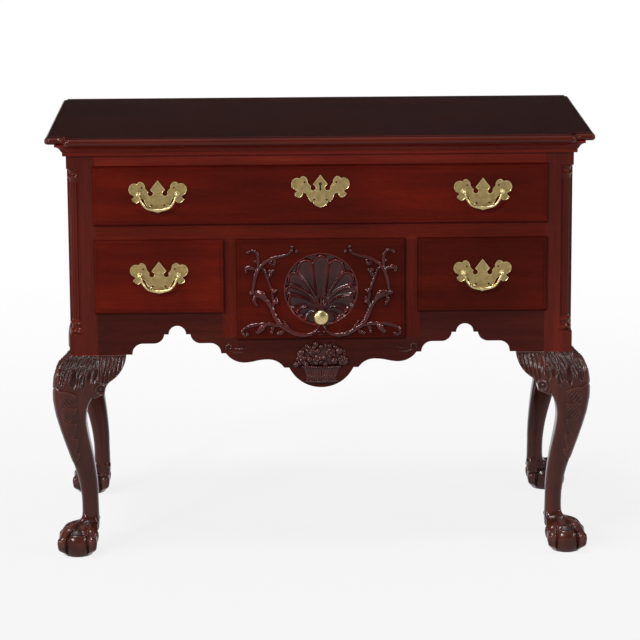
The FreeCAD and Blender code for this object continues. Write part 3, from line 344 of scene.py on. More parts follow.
# The share of even white in the floor, and how white it is in front and far behind
EVEN_WHITE = 0.88
NEAR_WHITE, FAR_WHITE = 0.955, 1.07
# Each lamp's name, the way its light comes from, its strength and its spread in degrees
LAMPS = (("key", (-0.62, -0.95, 0.55), 1.9, 9.0),
         ("fill", (0.95, -0.8, 0.45), 0.6, 9.0),
         ("over", (-0.22, -0.22, 1.0), 2.3, 14.0),
         ("left_strip", (-1.0, -0.3, 0.25), 1.1, 12.0),
         ("right_strip", (1.0, -0.2, 0.45), 0.9, 12.0))
# The camera's place in metres, its turns in radians and its lens and sensor in mm
CAMERA_PLACE = (-0.0814, -5.5138, 1.5598)
YAW, PITCH, ROLL = 0.015, -0.21, -0.006
LENS, SENSOR = 170.0, 36.0


def make_stage():
    """The floor, the lamps and the light of the room."""
    bm = bmesh.new()
    bmesh.ops.create_circle(bm, cap_ends=True, radius=FLOOR_RADIUS, segments=96)
    rim = [edge for edge in bm.edges if edge.is_boundary]
    for grow, lift in ((1.06, 0.25), (1.04, 0.8), (1.02, 1.6)):
        ring = bmesh.ops.extrude_edge_only(bm, edges=rim)["geom"]
        points = [item for item in ring if isinstance(item, bmesh.types.BMVert)]
        rim = [item for item in ring if isinstance(item, bmesh.types.BMEdge)]
        bmesh.ops.scale(bm, vec=(grow, grow, 1.0), verts=points)
        bmesh.ops.translate(bm, vec=(0, 0, lift), verts=points)
    bmesh.ops.translate(bm, vec=(0, 0, -FLOOR_DROP), verts=bm.verts)
    mesh = bpy.data.meshes.new("floor")
    bm.to_mesh(mesh)
    bm.free()
    floor = bpy.data.objects.new("floor", mesh)
    SCENE.collection.objects.link(floor)

    # White to the eye and in reflections, a little greyer in front, with only a faint shadow
    material, tree = new_finish("pale_floor")
    place = add(tree, "ShaderNodeTexCoord").outputs["Object"]
    drift = add(tree, "ShaderNodeTexNoise", {"Vector": place, "Scale": 0.8, "Detail": 1.0})
    tint = add(tree, "ShaderNodeMix", {0: drift.outputs["Fac"], 6: linear("#a4a4a4"),
                                       7: linear("#ababab")}, data_type="RGBA")
    matt = add(tree, "ShaderNodeBsdfDiffuse", {"Color": tint.outputs[2]})
    back = add(tree, "ShaderNodeSeparateXYZ", {0: place}).outputs["Y"]
    white = add(tree, "ShaderNodeMapRange", {"Value": back, "From Min": 0.2, "From Max": 3.0,
                                             "To Min": NEAR_WHITE, "To Max": FAR_WHITE})
    glow = add(tree, "ShaderNodeEmission", {"Strength": white.outputs["Result"]})
    seen = add(tree, "ShaderNodeLightPath").outputs
    mirrored = add(tree, "ShaderNodeMath", {0: seen["Is Glossy Ray"], 1: seen["Is Transmission Ray"]},
                   operation="MAXIMUM").outputs[0]
    direct = add(tree, "ShaderNodeMath", {0: seen["Is Camera Ray"], 1: mirrored}, operation="MAXIMUM")
    share = add(tree, "ShaderNodeMath", {0: direct.outputs[0], 1: EVEN_WHITE}, operation="MULTIPLY")
    both = add(tree, "ShaderNodeMixShader", {0: share.outputs[0], 1: matt.outputs[0],
                                             2: glow.outputs[0]})
    add(tree, "ShaderNodeOutputMaterial", {"Surface": both.outputs[0]})
    mesh.materials.append(material)

    world = bpy.data.worlds.new("room")
    world.use_nodes = True
    tree = world.node_tree
    tree.nodes.clear()
    way = add(tree, "ShaderNodeTexCoord").outputs["Generated"]
    height = add(tree, "ShaderNodeSeparateXYZ", {0: way}).outputs["Z"]
    rise = add(tree, "ShaderNodeMapRange", {"Value": height, "From Min": 0.34, "From Max": 1.0,
                                            "To Min": 0.02, "To Max": 0.9})
    sky = add(tree, "ShaderNodeBackground", {"Color": linear("#ffffff"),
                                             "Strength": rise.outputs["Result"]})
    add(tree, "ShaderNodeOutputWorld", {"Surface": sky.outputs[0]})
    SCENE.world = world

    for name, from_way, strength, spread in LAMPS:
        lamp = bpy.data.lights.new(name, "SUN")
        lamp.energy = strength
        lamp.angle = math.radians(spread)
        obj = bpy.data.objects.new(name, lamp)
        obj.rotation_euler = Vector(from_way).to_track_quat("Z", "Y").to_euler()
        SCENE.collection.objects.link(obj)


def make_camera():
    """The camera: at a standing eye's height, looking a little down at the front."""
    data = bpy.data.cameras.new("camera")
    data.sensor_width = SENSOR
    data.lens = LENS
    data.clip_end = 100.0
    camera = bpy.data.objects.new("camera", data)
    turned = Matrix.Rotation(-YAW, 4, "Z") @ Matrix.Rotation(math.pi / 2 + PITCH, 4, "X")
    camera.matrix_world = Matrix.Translation(CAMERA_PLACE) @ turned @ Matrix.Rotation(ROLL, 4, "Z")
    SCENE.collection.objects.link(camera)
    SCENE.camera = camera
    SCENE.view_settings.view_transform = "Standard"


# Carving tools

def smooth_path(knots, steps=6):
    """More places along a smooth line through the knots."""
    ends = [Vector(knots[0])] + [Vector(knot) for knot in knots] + [Vector(knots[-1])]
    path = []
    for before, start, end, after in zip(ends, ends[1:], ends[2:], ends[3:]):
        for step in range(steps):
            share = step / steps
            bend = 2 * before - 5 * start + 4 * end - after
            swing = 3 * start - before - 3 * end + after
            path.append((2 * start + (end - before) * share + bend * share ** 2 + swing * share ** 3) / 2)
    path.append(ends[-1])
    return path


def stroke(bm, knots, face, rise, swell=0.0):
    """Add a raised stroke through (x, z, half-width) knots in mm, rounded and half sunk in a face.

    The swell is the share by which a hand-cut stroke grows and shrinks along its length.
    """
    curve = bpy.data.curves.new("stroke", "CURVE")
    curve.dimensions = "3D"
    curve.bevel_depth = MM
    curve.bevel_resolution = 2
    curve.use_fill_caps = True
    path = smooth_path(knots)
    line = curve.splines.new("POLY")
    line.points.add(len(path) - 1)
    for index, (x, z, width) in enumerate(path):
        line.points[index].co = (x * MM, 0, z * MM, 1)
        line.points[index].radius = max(width, 0.2) * (1 + swell * math.sin(1.4 * index))
    holder = bpy.data.objects.new("stroke", curve)
    mesh = bpy.data.meshes.new_from_object(holder)
    mesh.transform(Matrix.Translation((0, face * MM, 0)) @ Matrix.Diagonal((1, rise, 1, 1)))
    bm.from_mesh(mesh)
    bpy.data.meshes.remove(mesh)
    bpy.data.objects.remove(holder)
    bpy.data.curves.remove(curve)


def knob(bm, x, z, radius, face, rise):
    """Add a small rounded knob, half sunk in a face."""
    place = Matrix.Translation((x * MM, face * MM, z * MM)) @ Matrix.Diagonal((1, rise, 1, 1))
    bmesh.ops.create_icosphere(bm, subdivisions=2, radius=radius * MM, matrix=place)


def remeshed(bm, size):
    """The same closed shape as an even mesh of small squares."""
    mesh = bpy.data.meshes.new("shape")
    bm.to_mesh(mesh)
    bm.free()
    holder = bpy.data.objects.new("shape", mesh)
    SCENE.collection.objects.link(holder)
    modifier = holder.modifiers.new("even", "REMESH")
    modifier.mode = "VOXEL"
    modifier.voxel_size = size * MM
    even = bpy.data.meshes.new_from_object(holder.evaluated_get(bpy.context.evaluated_depsgraph_get()))
    out = bmesh.new()
    out.from_mesh(even)
    bpy.data.objects.remove(holder)
    bpy.data.meshes.remove(mesh)
    bpy.data.meshes.remove(even)
    return out


def smooth_out(bm, verts, times):
    """Smooth some of a mesh's vertices."""
    for turn in range(times):
        bmesh.ops.smooth_vert(bm, verts=verts, factor=0.5, use_axis_x=True, use_axis_y=True,
                              use_axis_z=True)


def softened(bm, times):
    """A copy of a mesh with its small shapes smoothed away."""
    soft = bm.copy()
    smooth_out(soft, soft.verts, times)
    return soft


def shade_relief(bm, depth_at):
    """Move each vertex along its normal by a carving depth in mm, and note a tone for the finish.

    Hollows are noted darker, as painted shade, and ridges lighter, as painted highlight.
    """
    note = bm.verts.layers.float.new("relief")
    bm.normal_update()
    for vertex in bm.verts:
        height, vertex[note] = depth_at(vertex.co / MM, vertex.normal)
        vertex.co += vertex.normal * height * MM
    bm.normal_update()
    soft = softened(bm, HOLLOW_TURNS)
    for vertex, other in zip(bm.verts, soft.verts):
        hollow = (other.co - vertex.co).dot(vertex.normal) / MM
        vertex[note] = min(max(vertex[note] - HOLLOW_SHARE * hollow, RELIEF_LOW), RELIEF_HIGH)
    soft.free()


# The shell on the centre drawer: lobes that fan from a hub, with scooped flutes between thin ridges

SHELL_UP = 489.0
SHELL_RADIUS = 66.0
SHELL_BED = -6.0
SHELL_LAP = 1.4
HUB_DROP = 42.0
# The depth of the scooped lobes, and the heights of their rolled ends, the ridges and the ring round all
SCOOP, LOBE_ROLL, RIDGE_RISE, RING_RISE = 3.4, 3.2, 1.9, 2.4
# Each ridge's angle from upright at the hub and at the rim, and how many fillets it has
RIDGES = ((13, 9, 1), (20, 31, 2), (29, 50, 2), (42, 63, 1), (62, 92, 1), (88, 122, 1))
# The tips of the small leaves over the hub, and the heights of their roots and bellies
HUB_LEAVES = ((-11, 465), (-6, 470), (0, 473), (6, 470), (11, 465))
LEAF_ROOT, LEAF_BELLY = 450, 460
SPOKE_STEPS, TURN_STEPS = 110, 420


def shell_height(x, z):
    """Height in mm over the drawer's face at a place measured from the shell's middle, and its tone."""
    out = math.hypot(x, z)
    rise = z + HUB_DROP
    reach = math.hypot(x, rise)
    angle = math.atan2(abs(x), rise)
    aslant = HUB_DROP * math.sin(angle)
    edge = HUB_DROP * math.cos(angle) + math.sqrt(SHELL_RADIUS ** 2 - aslant ** 2)
    share = reach / edge
    bend = smooth_step(0.1, 1.0, share)
    lines = [math.radians(low + (high - low) * bend) for low, high, fillets in RIDGES]
    grow = smooth_step(0.1, 0.45, share)
    height = SHELL_BED
    lows = [-lines[0]] + lines
    for low, high in zip(lows, lows[1:]):
        if low <= angle < high:
            across = 2 * (angle - low) / (high - low) - 1
            past = (share - 0.97 + 0.11 * across * across) * edge
            scoop = SCOOP * (1 - across * across) * grow * (1 - 0.5 * smooth_step(0.75, 1.0, share))
            inside = SHELL_BED * (1 - share ** 3) - scoop + LOBE_ROLL * bell(past + 2.2, 2.0)
            height = inside + (SHELL_BED - inside) * smooth_step(-0.4, 0.9, past)
    for line, (low, high, fillets) in zip(lines, RIDGES):
        aside = abs(angle - line) * reach
        crest = bell(aside - 1.5, 0.9) if fillets == 2 else bell(aside, 1.2)
        height += RIDGE_RISE * crest * grow * (1 - smooth_step(0.86, 0.92, share))
    ring = 1 - ((out - SHELL_RADIUS + 0.6) / 2.3) ** 2
    if ring > 0:
        height = max(height, RING_RISE * math.sqrt(ring) - RING_RISE)
    # The tone paints shade into the shell's deep places and a highlight onto its raised ridges and rims
    return height, max(RELIEF_LOW, (height + 2.5) / 7.0)


def carve_shell():
    """The carved shell, set in the round recess of the centre drawer's front."""
    bm = bmesh.new()
    reach = (SHELL_RADIUS + SHELL_LAP) * MM
    spoke = [bm.verts.new((step / SPOKE_STEPS * reach, 0, 0)) for step in range(SPOKE_STEPS + 1)]
    edges = [bm.edges.new(pair) for pair in zip(spoke, spoke[1:])]
    bmesh.ops.spin(bm, geom=spoke + edges, axis=(0, 1, 0), cent=(0, 0, 0), angle=2 * math.pi,
                   steps=TURN_STEPS, use_merge=True)
    bmesh.ops.remove_doubles(bm, verts=bm.verts, dist=JOIN)
    note = bm.verts.layers.float.new("relief")
    for vertex in bm.verts:
        x, z = vertex.co.x / MM, vertex.co.z / MM
        height, vertex[note] = shell_height(x, z)
        vertex.co = Vector((x, DRAWER_FACE - height, z + SHELL_UP)) * MM
    bmesh.ops.recalc_face_normals(bm, faces=bm.faces)
    for tip, up in HUB_LEAVES:
        knots = ((0.3 * tip, LEAF_ROOT, 1.2), (0.7 * tip, LEAF_BELLY, 2.6), (tip, up, 1.6))
        stroke(bm, knots, DRAWER_FACE + 4.5, rise=1.2)
    add_piece("carved_shell", bm, "centre_drawer", "carving", crease=60)

    board = from_cad("centre_drawer_front")
    dish = []
    for face in board.faces:
        middle = face.calc_center_median() / MM
        inside = math.hypot(middle.x, middle.z - SHELL_UP) < SHELL_RADIUS - 0.05
        if inside and DRAWER_FACE + 0.05 < middle.y < DRAWER_FACE + 8:
            dish.append(face)
    bmesh.ops.delete(board, geom=dish, context="FACES")
    add_piece("centre_drawer_board", board, "centre_drawer", "dark_front",
              ["centre_drawer_front"], crease=0)


# The vines round the shell, drawn for the left side and mirrored, as (x, z, half-width) knots in mm

VINES = (
    ((-3, 423.5, 0.8), (-10.6, 413, 1.4), (-23.1, 406.7, 2.2), (-41.7, 407.7, 2.8), (-58.4, 416.1, 3.1),
     (-72.9, 425.6, 3.2), (-81.2, 438.3, 3.2), (-87.4, 453, 3.0), (-94.7, 466.7, 2.8),
     (-106.1, 476.2, 2.5), (-124.8, 483.5, 1.9)),
    ((-121.7, 484, 1.6), (-119.6, 501.4, 2.2), (-115.5, 518.3, 2.5), (-110.3, 528.8, 2.5),
     (-99.9, 539.4, 2.3), (-85.4, 546.7, 2.0), (-70.8, 549.9, 1.7), (-58.4, 554.1, 1.5),
     (-51.1, 560.4, 1.4)),
    ((-112.4, 528.8, 1.8), (-111.3, 541.5, 2.0), (-113.4, 554.1, 1.8), (-119.6, 560.4, 1.5),
     (-129, 558.3, 1.2)),
    ((-114.4, 526.7, 1.5), (-126.9, 529.9, 3.0), (-134.2, 527.8, 2.4), (-133.1, 522.5, 1.0)),
    ((-88.5, 548, 1.2), (-81.5, 541.5, 1.5), (-84.5, 534, 1.5), (-90.5, 537.5, 1.1), (-87, 541.5, 0.8)),
    ((-87.4, 450, 2.0), (-85.4, 465.6, 2.0), (-86.4, 478.3, 1.8), (-89.5, 493, 1.7), (-94.7, 507.8, 1.6),
     (-99.9, 522.5, 1.5), (-106.5, 531, 1.2)),
    ((-95.5, 511, 1.0), (-90.5, 516, 1.6), (-88.5, 522.5, 1.2)),
    ((-89, 482, 1.0), (-84, 487, 3.2), (-77, 488.5, 0.6)),
    ((-86, 462, 1.0), (-81.5, 468, 3.2), (-79.5, 477, 0.6)),
    ((-96, 470, 1.2), (-106, 482, 3.4), (-120, 486.5, 0.8)),
    ((-116, 481, 1.4), (-119.6, 469.9, 1.8), (-115.5, 462.5, 1.0)),
    ((-73, 424, 2.2), (-91.6, 426.7, 2.4), (-108.2, 426.7, 2.3), (-124.8, 424.6, 2.1),
     (-137.3, 419.3, 1.9), (-141.4, 410.9, 1.7), (-136.3, 405.6, 1.4), (-132.1, 408.8, 1.1)),
    ((-97, 426, 1.0), (-106, 420.5, 3.2), (-114.4, 410, 1.4)),
    ((-82, 426, 0.8), (-87, 419, 2.0), (-88.4, 412, 1.0)),
    ((-64, 419.5, 0.8), (-70, 412, 2.0), (-77, 408.5, 0.8)),
    ((-55, 414, 0.8), (-62, 423, 2.0), (-66, 430, 0.5)),
)
# Berries and curled tips along the vines, as (x, z, radius)
VINE_KNOBS = (
    (-124.8, 483.5, 4.2), (-51.1, 566.6, 3.4), (-43.5, 558, 3.4), (-52.5, 559.5, 3.4),
    (-129.5, 557.5, 3.6), (-117, 559.5, 3.2), (-133.2, 523, 3.0), (-91.5, 523.5, 3.4), (-86, 524, 3.4),
    (-87, 488, 3.8), (-83, 470, 3.6), (-115, 461.5, 2.6), (-132, 408.5, 3.4), (-88.4, 412, 3.6),
    (-113.5, 412.5, 3.6), (-76.5, 409.5, 3.4), (-66, 431, 2.6), (-116, 541, 3.0), (-3.5, 424.5, 2.2),
    (-5, 412, 2.4), (-2, 407, 2.0))
# How full the stems, the leaves and the knobs are cut, how far they stand out, and how uneven they are
STEM_FULL, LEAF_FULL, KNOB_FULL = 1.5, 2.0, 1.2
VINE_RISE, VINE_SWELL = 1.1, 0.06


def carve_vines():
    """Raised leafy vines on the flat of the centre drawer's front."""
    bm = bmesh.new()
    for side in (1, -1):
        for knots in VINES:
            # A line of three knots is a leaf
            full = LEAF_FULL if len(knots) == 3 else STEM_FULL
            cut = [(side * x, z, full * width + 0.5) for x, z, width in knots]
            stroke(bm, cut, DRAWER_FACE, rise=VINE_RISE, swell=VINE_SWELL)
        for x, z, radius in VINE_KNOBS:
            knob(bm, side * x, z, KNOB_FULL * radius, DRAWER_FACE, rise=VINE_RISE)
    # Painted shade: the vines are noted darker the nearer they lie to the board
    note = bm.verts.layers.float.new("relief")
    for vertex in bm.verts:
        vertex[note] = min(max((DRAWER_FACE - vertex.co.y / MM - 5.0) / 6.0, -0.5), 0.2)
    add_piece("carved_vines", bm, "centre_drawer", "carving", crease=60)


# The apron's pendant: a woven basket heaped with fruit and flowers

BASKET_LOW, BASKET_TOP = 320.0, 346.0
# Its half width at the foot, its flare and bulge, and the depth of its weave
BASKET_HALF, BASKET_FLARE, BASKET_BULGE, WEAVE = 27.0, 7.0, 7.0, 1.5
BASKET_STAVES, RIM_BEADS, RIM_OUT = 13, 24, 0.5
HOOP_UP = 329.0
# The heap of fruit: its foot and top, its half width and its height
HEAP_LOW, HEAP_TOP = 350.0, 392.0
HEAP_HALF, HEAP_RISE = 52.0, 45.0
MOUND_UP, MOUND_SIZE = 367.0, (44, 2.2, 21, 1)
FRUIT_TRIES, FRUIT_SMALL, FRUIT_LARGE = 1200, 4.6, 8.0
# The leaves round the heap's edge: how many, and the half width and height of their arch
BORDER_LEAVES, BORDER_HALF, BORDER_RISE = 15, 48.0, 39.0
# A blossom's petals, the radii of the whole, of its eye and of a petal, and how far out a petal sits
PETALS = 5
BLOSSOM, EYE_RADIUS, PETAL, PETAL_OUT = 9.5, 3.6, 4.6, 5.8
BLOSSOMS = ((-36, 360), (-7, 359), (17, 372), (38, 358), (-18, 377))
# A curl and two leaves at each end of the apron's middle part
SIDE_SCROLL = (
    ((-171, 377.5, 1.0), (-170, 385, 1.9), (-164, 387, 1.9), (-160.5, 382, 1.6), (-164, 379.5, 1.2)),
    ((-164, 376.5, 0.8), (-152, 373, 2.2), (-138, 374.5, 0.6)),
    ((-155, 380, 0.8), (-144, 379.5, 2.0), (-133, 382.5, 0.6)))


def carve_basket():
    """The basket, its rolled rims, and the heap of fruit, flowers and leaves above it."""
    pick = random.Random(5)
    bm = bmesh.new()
    made = bmesh.ops.create_grid(bm, x_segments=120, y_segments=48, size=1.0)
    for vertex in made["verts"]:
        across, up = vertex.co.x, (vertex.co.y + 1) / 2
        z = BASKET_LOW + (BASKET_TOP - BASKET_LOW) * up
        half = BASKET_HALF + BASKET_FLARE * up * up
        stave = abs(math.sin(across * BASKET_STAVES * math.pi / 2)) ** 0.5
        hoop = bell(z - HOOP_UP, 1.6)
        bulge = BASKET_BULGE * math.sqrt(max(0.0, 1 - across * across))
        bulge += WEAVE * max(stave, hoop) - WEAVE
        vertex.co = Vector((across * half, CASE_FRONT - bulge + 0.3, z)) * MM
    bmesh.ops.recalc_face_normals(bm, faces=bm.faces)
    for up, half, width in ((BASKET_TOP, BASKET_HALF + BASKET_FLARE, 2.3), (BASKET_LOW, BASKET_HALF, 2.0)):
        for step in range(RIM_BEADS + 1):
            turn = math.pi * step / RIM_BEADS
            face = CASE_FRONT - (BASKET_BULGE + RIM_OUT) * math.sin(turn)
            knob(bm, (half + RIM_OUT) * math.cos(turn), up, width, face, rise=1.0)
    mound = Matrix.Translation(Vector((0, CASE_FRONT, MOUND_UP)) * MM) @ Matrix.Diagonal(MOUND_SIZE)
    bmesh.ops.create_icosphere(bm, subdivisions=4, radius=MM, matrix=mound)
    heap = [(x, z, BLOSSOM) for x, z in BLOSSOMS]
    for x, z in BLOSSOMS:
        deep = CASE_FRONT - 4.0
        knob(bm, x, z, EYE_RADIUS, deep - 2.5, rise=1.0)
        for petal in range(PETALS):
            turn = petal * 2 * math.pi / PETALS + x
            knob(bm, x + PETAL_OUT * math.cos(turn), z + PETAL_OUT * math.sin(turn), PETAL, deep, rise=0.8)
    for tries in range(FRUIT_TRIES):
        x = pick.uniform(2 - HEAP_HALF, HEAP_HALF - 2)
        z = pick.uniform(HEAP_LOW + 1, HEAP_TOP - 3)
        radius = pick.uniform(FRUIT_SMALL, FRUIT_LARGE)
        limit = HEAP_HALF * math.sqrt(max(0.0, 1 - ((z - HEAP_LOW) / HEAP_RISE) ** 2))
        if abs(x) > limit - radius:
            continue
        if all(math.hypot(x - other[0], z - other[1]) > 0.8 * (radius + other[2]) for other in heap):
            heap.append((x, z, radius))
            knob(bm, x, z, radius, CASE_FRONT - 3.0, rise=1.0)
    for step in range(BORDER_LEAVES):
        turn = math.pi * (step + 0.5) / BORDER_LEAVES
        x, z = BORDER_HALF * math.cos(turn), BORDER_RISE * math.sin(turn)
        leaf = []
        for reach, width in ((0.7, 1.5), (0.9, 4.0), (pick.uniform(0.97, 1.1), 0.8)):
            leaf.append((reach * x, min(HEAP_LOW + reach * z, HEAP_TOP), width))
        stroke(bm, leaf, CASE_FRONT - 0.5, rise=0.8)
    for side in (-1, 1):
        for knots in SIDE_SCROLL:
            stroke(bm, [(side * x, z, width) for x, z, width in knots], CASE_FRONT, rise=0.9)
    add_piece("carved_basket", bm, "case", "pendant", crease=60)


# The front knees: plumes of gouge cuts that bend down from the knee line, a leaf along the corner, and a
# curl where the bracket meets the leg

CURL_ALONG, CURL_DOWN, CURL_RADIUS = 54.0, 58.0, 12.0
LEAF_DOWN = 50.0
PLUME_WIDTH = 7.4
# The posts are parted from the cabrioles just under the knee line, in metres
PARTING = 0.3705
# The heights between which the seam of leg and bracket is smoothed over, in metres
SEAM_LOW, SEAM_TOP = 0.3, 0.366
# How far the skin over the toes and the ankle are lowered, and how much crisper the claws are cut
TOE_SINK, ANKLE_SINK, CLAW_CRISP = 11.0, 16.0, 1.3
# The turns of smoothing that blend the ankle, blur the claws for comparison and close the bracket's seam
ANKLE_TURNS, CLAW_TURNS, SEAM_TURNS = 20, 24, 40
# The size of the squares in a leg's mesh, and the height below which the foot is carved, in mm
LEG_GRID = 1.17
FOOT_TOP = 75.0


# The tone of the knee's carving paints shade into the cuts and just under the knee line, and a highlight
# onto the raised curl
def knee_cuts(along, aside, down):
    """Carving height in mm and its tone, from distances along the face, aside of the corner and down."""
    top = smooth_step(0, 4, down)
    curl = math.hypot(along - CURL_ALONG, down - CURL_DOWN)
    if curl < CURL_RADIUS:
        ring = bell(curl - 8.5, 2.2)
        eye = bell(curl, 3.0)
        edge = 1 - smooth_step(CURL_RADIUS - 1.5, CURL_RADIUS, curl)
        return (2.4 * ring + 1.6 * eye - 1.2) * edge, (0.9 * ring + 0.6 * eye - 0.8) * edge
    seam = 0.8 * bell(along - POST_WIDTH, 1.5)
    if along > POST_WIDTH:
        cut = gouge((along + 0.2 * down) / 7.0) * smooth_step(POST_WIDTH, POST_WIDTH + 8, along)
        return seam - 2.4 * cut * top, (0.25 - 0.5 * cut) * top
    if down > LEAF_DOWN:
        lobe = (down / 30) % 1
        leaf = (36 - 0.16 * (down - LEAF_DOWN)) * (1 - 0.35 * lobe * lobe)
        leaf *= smooth_step(LEAF_DOWN, LEAF_DOWN + 20, down)
        leaf *= 1 - smooth_step(185, 215, down)
    else:
        leaf = 7 * smooth_step(4, 40, down)
    if aside < leaf:
        edge = smooth_step(0.35, 0.6, aside / leaf)
        group = bell(down - 80, 10) + bell(down - 109, 9) + 0.4 * bell(down - 138, 9)
        cut = gouge((aside - 0.53 * down) / 5.2) * edge * group
        inside = smooth_step(0, 1.6, leaf - aside) * top
        rib = bell(aside, 2.5) * (1 - smooth_step(170, 210, down))
        return (1.3 + 0.5 * rib + 0.4 * group - 2.4 * cut) * inside, (0.15 - 0.15 * cut) * inside
    sway = 2.6 * math.sin(0.19 * along + 0.06 * down) + 1.4 * math.sin(0.47 * along)
    phase = (along + 26 * (1 - math.exp(-down / 26)) + sway) / PLUME_WIDTH
    plume = math.floor(phase)
    across = 2 * (phase - plume) - 1
    ragged = 6 * math.sin(2.4 * plume) + 4 * math.sin(5.3 * plume)
    end = min(56.0, 92 - 0.9 * along) + ragged - 6 * across * across
    if down < end:
        cut = math.sqrt(1 - across * across) * smooth_step(-1, 12, end - down) * top
        rim = smooth_step(0, 2.5, end - down) * top
        return seam + 1.6 * rim - 3.2 * cut, -0.5 * cut - 0.5 * (1 - smooth_step(6, 40, down))
    return seam, 0.0


def between_toes(out):
    """1 between two toes and 0 on a toe, by the way out from the ball's middle."""
    return smooth_step(0.86, 0.93, max(abs(out.x), abs(out.y)) / max(out.length, 0.1))


def settle_foot(bm, middle):
    """Lower and blend the ankle's skin, sharpen the claws, and bare the ball between the toes.

    The talons' tips are drawn in, clear of the floor.
    """
    for vertex in bm.verts:
        up = vertex.co.z / MM
        out = math.hypot(vertex.co.x / MM - middle[0], vertex.co.y / MM - middle[1])
        slope = smooth_step(20, 42, out) * smooth_step(28, 56, up) * (1 - smooth_step(80, 110, up))
        vertex.co.z -= TOE_SINK * MM * slope
        up = vertex.co.z / MM
        vertex.co.z -= ANKLE_SINK * MM * smooth_step(38, 86, up) * (1 - smooth_step(96, 200, up))
    smooth_out(bm, [vertex for vertex in bm.verts if 64 < vertex.co.z / MM < 115], ANKLE_TURNS)
    soft = softened(bm, CLAW_TURNS)
    for vertex, other in zip(bm.verts, soft.verts):
        up = vertex.co.z / MM
        crisp = CLAW_CRISP * smooth_step(4, 14, up) * (1 - smooth_step(48, 64, up))
        ball = BALL_RADIUS * math.sqrt(max(0.0, 1 - ((BALL_MIDDLE - up) / BALL_HALF_HEIGHT) ** 2))
        vertex.co += (vertex.co - other.co) * crisp
        out = Vector((vertex.co.x / MM - middle[0], vertex.co.y / MM - middle[1], 0))
        if out.length > 0.6 * ball and up < 52:
            drawn = between_toes(out) * (1 - smooth_step(41, 45, up))
            if out.length > ball:
                drawn = max(drawn, 1 - smooth_step(2, 16, up))
            vertex.co += out * (ball / out.length - 1) * drawn * MM
    soft.free()
    # The ankle is smoothed from ever higher up, so that it blends into the toes
    for low in range(44, 70, 2):
        smooth_out(bm, [vertex for vertex in bm.verts if low < vertex.co.z / MM < 108], 4)


# The tone paints shade into the groove and onto the skin just above it
def ball_edge(out, up):
    """Carving height and tone of the dark groove where the skin between two toes ends on the ball."""
    share = between_toes(out)
    groove = bell(up - 38 - 6 * share, 3.5) * share
    skin = smooth_step(44, 48, up) * (1 - smooth_step(58, 68, up)) * share
    return -1.2 * groove, -1.0 * groove - 0.55 * skin


def carve_leg(end, hand):
    """A leg: the plain corner post above, and the cabriole below, which runs into its brackets.

    At the front the knee is carved across both.
    """
    name = "%s_%s_leg" % (end, hand)
    side = 1 if hand == "right" else -1
    bm = from_cad(name)
    low = bm.copy()
    for mesh, up in ((bm, 1), (low, -1)):
        whole = mesh.verts[:] + mesh.edges[:] + mesh.faces[:]
        cut = bmesh.ops.bisect_plane(mesh, geom=whole, dist=0.000001, plane_co=(0, 0, PARTING),
                                     plane_no=(0, 0, up), clear_inner=True)
        rim = [item for item in cut["geom_cut"] if isinstance(item, bmesh.types.BMEdge)]
        bmesh.ops.edgenet_fill(mesh, edges=rim)
    add_piece("%s_%s_post" % (end, hand), bm, "case", "post", [name], crease=0)
    brackets = "front_%s_knee_brackets" % hand if end == "front" else "rear_knee_brackets"
    low.from_mesh(NODES[brackets].data)
    far_side = [vertex for vertex in low.verts if side * vertex.co.x < 0]
    bmesh.ops.delete(low, geom=far_side, context="VERTS")
    low = remeshed(low, LEG_GRID)
    middle = Vector((side * FOOT_SIDE, FOOT_PLACES[end], 0))
    settle_foot(low, middle)
    seam = []
    for vertex in low.verts:
        y = vertex.co.y / MM
        inward = y - CASE_FRONT if end == "front" else CASE_BACK - y
        along = max(CASE_SIDE - side * vertex.co.x / MM, inward)
        if abs(along - POST_WIDTH) < 8 and SEAM_LOW < vertex.co.z < SEAM_TOP:
            seam.append(vertex)
    smooth_out(low, seam, SEAM_TURNS)

    def depth_at(place, normal):
        if place.z < FOOT_TOP:
            return ball_edge(place * Vector((1, 1, 0)) - middle, place.z)
        if end == "rear":
            return 0.0, 0.0
        x = CASE_SIDE - side * place.x
        y = place.y - CASE_FRONT
        facing = (side * normal.x - normal.y) / math.sqrt(2)
        height, tone = knee_cuts(max(x, y), abs(x - y) / math.sqrt(2), KNEE_LINE - place.z)
        front = smooth_step(-0.1, 0.25, facing)
        return height * front, tone * front

    shade_relief(low, depth_at)
    # The rear brackets are one node, and the left leg's piece stands for it
    stands_for = [] if name == "rear_right_leg" else [brackets]
    cabriole = "%s_%s_cabriole" % (end, hand)
    add_piece(cabriole, low, "case", "leg", stands_for, crease=180)


# The moulding under the top, as an (outward, height) profile

BED_PROFILE = ((0, 732), (5, 732), (6, 733), (6, 739), (7.2, 740), (8.2, 741.2), (9.2, 743.4), (11, 746),
               (13.6, 748.4), (16.6, 749.9), (19, 750.4), (19, 754), (0, 754))


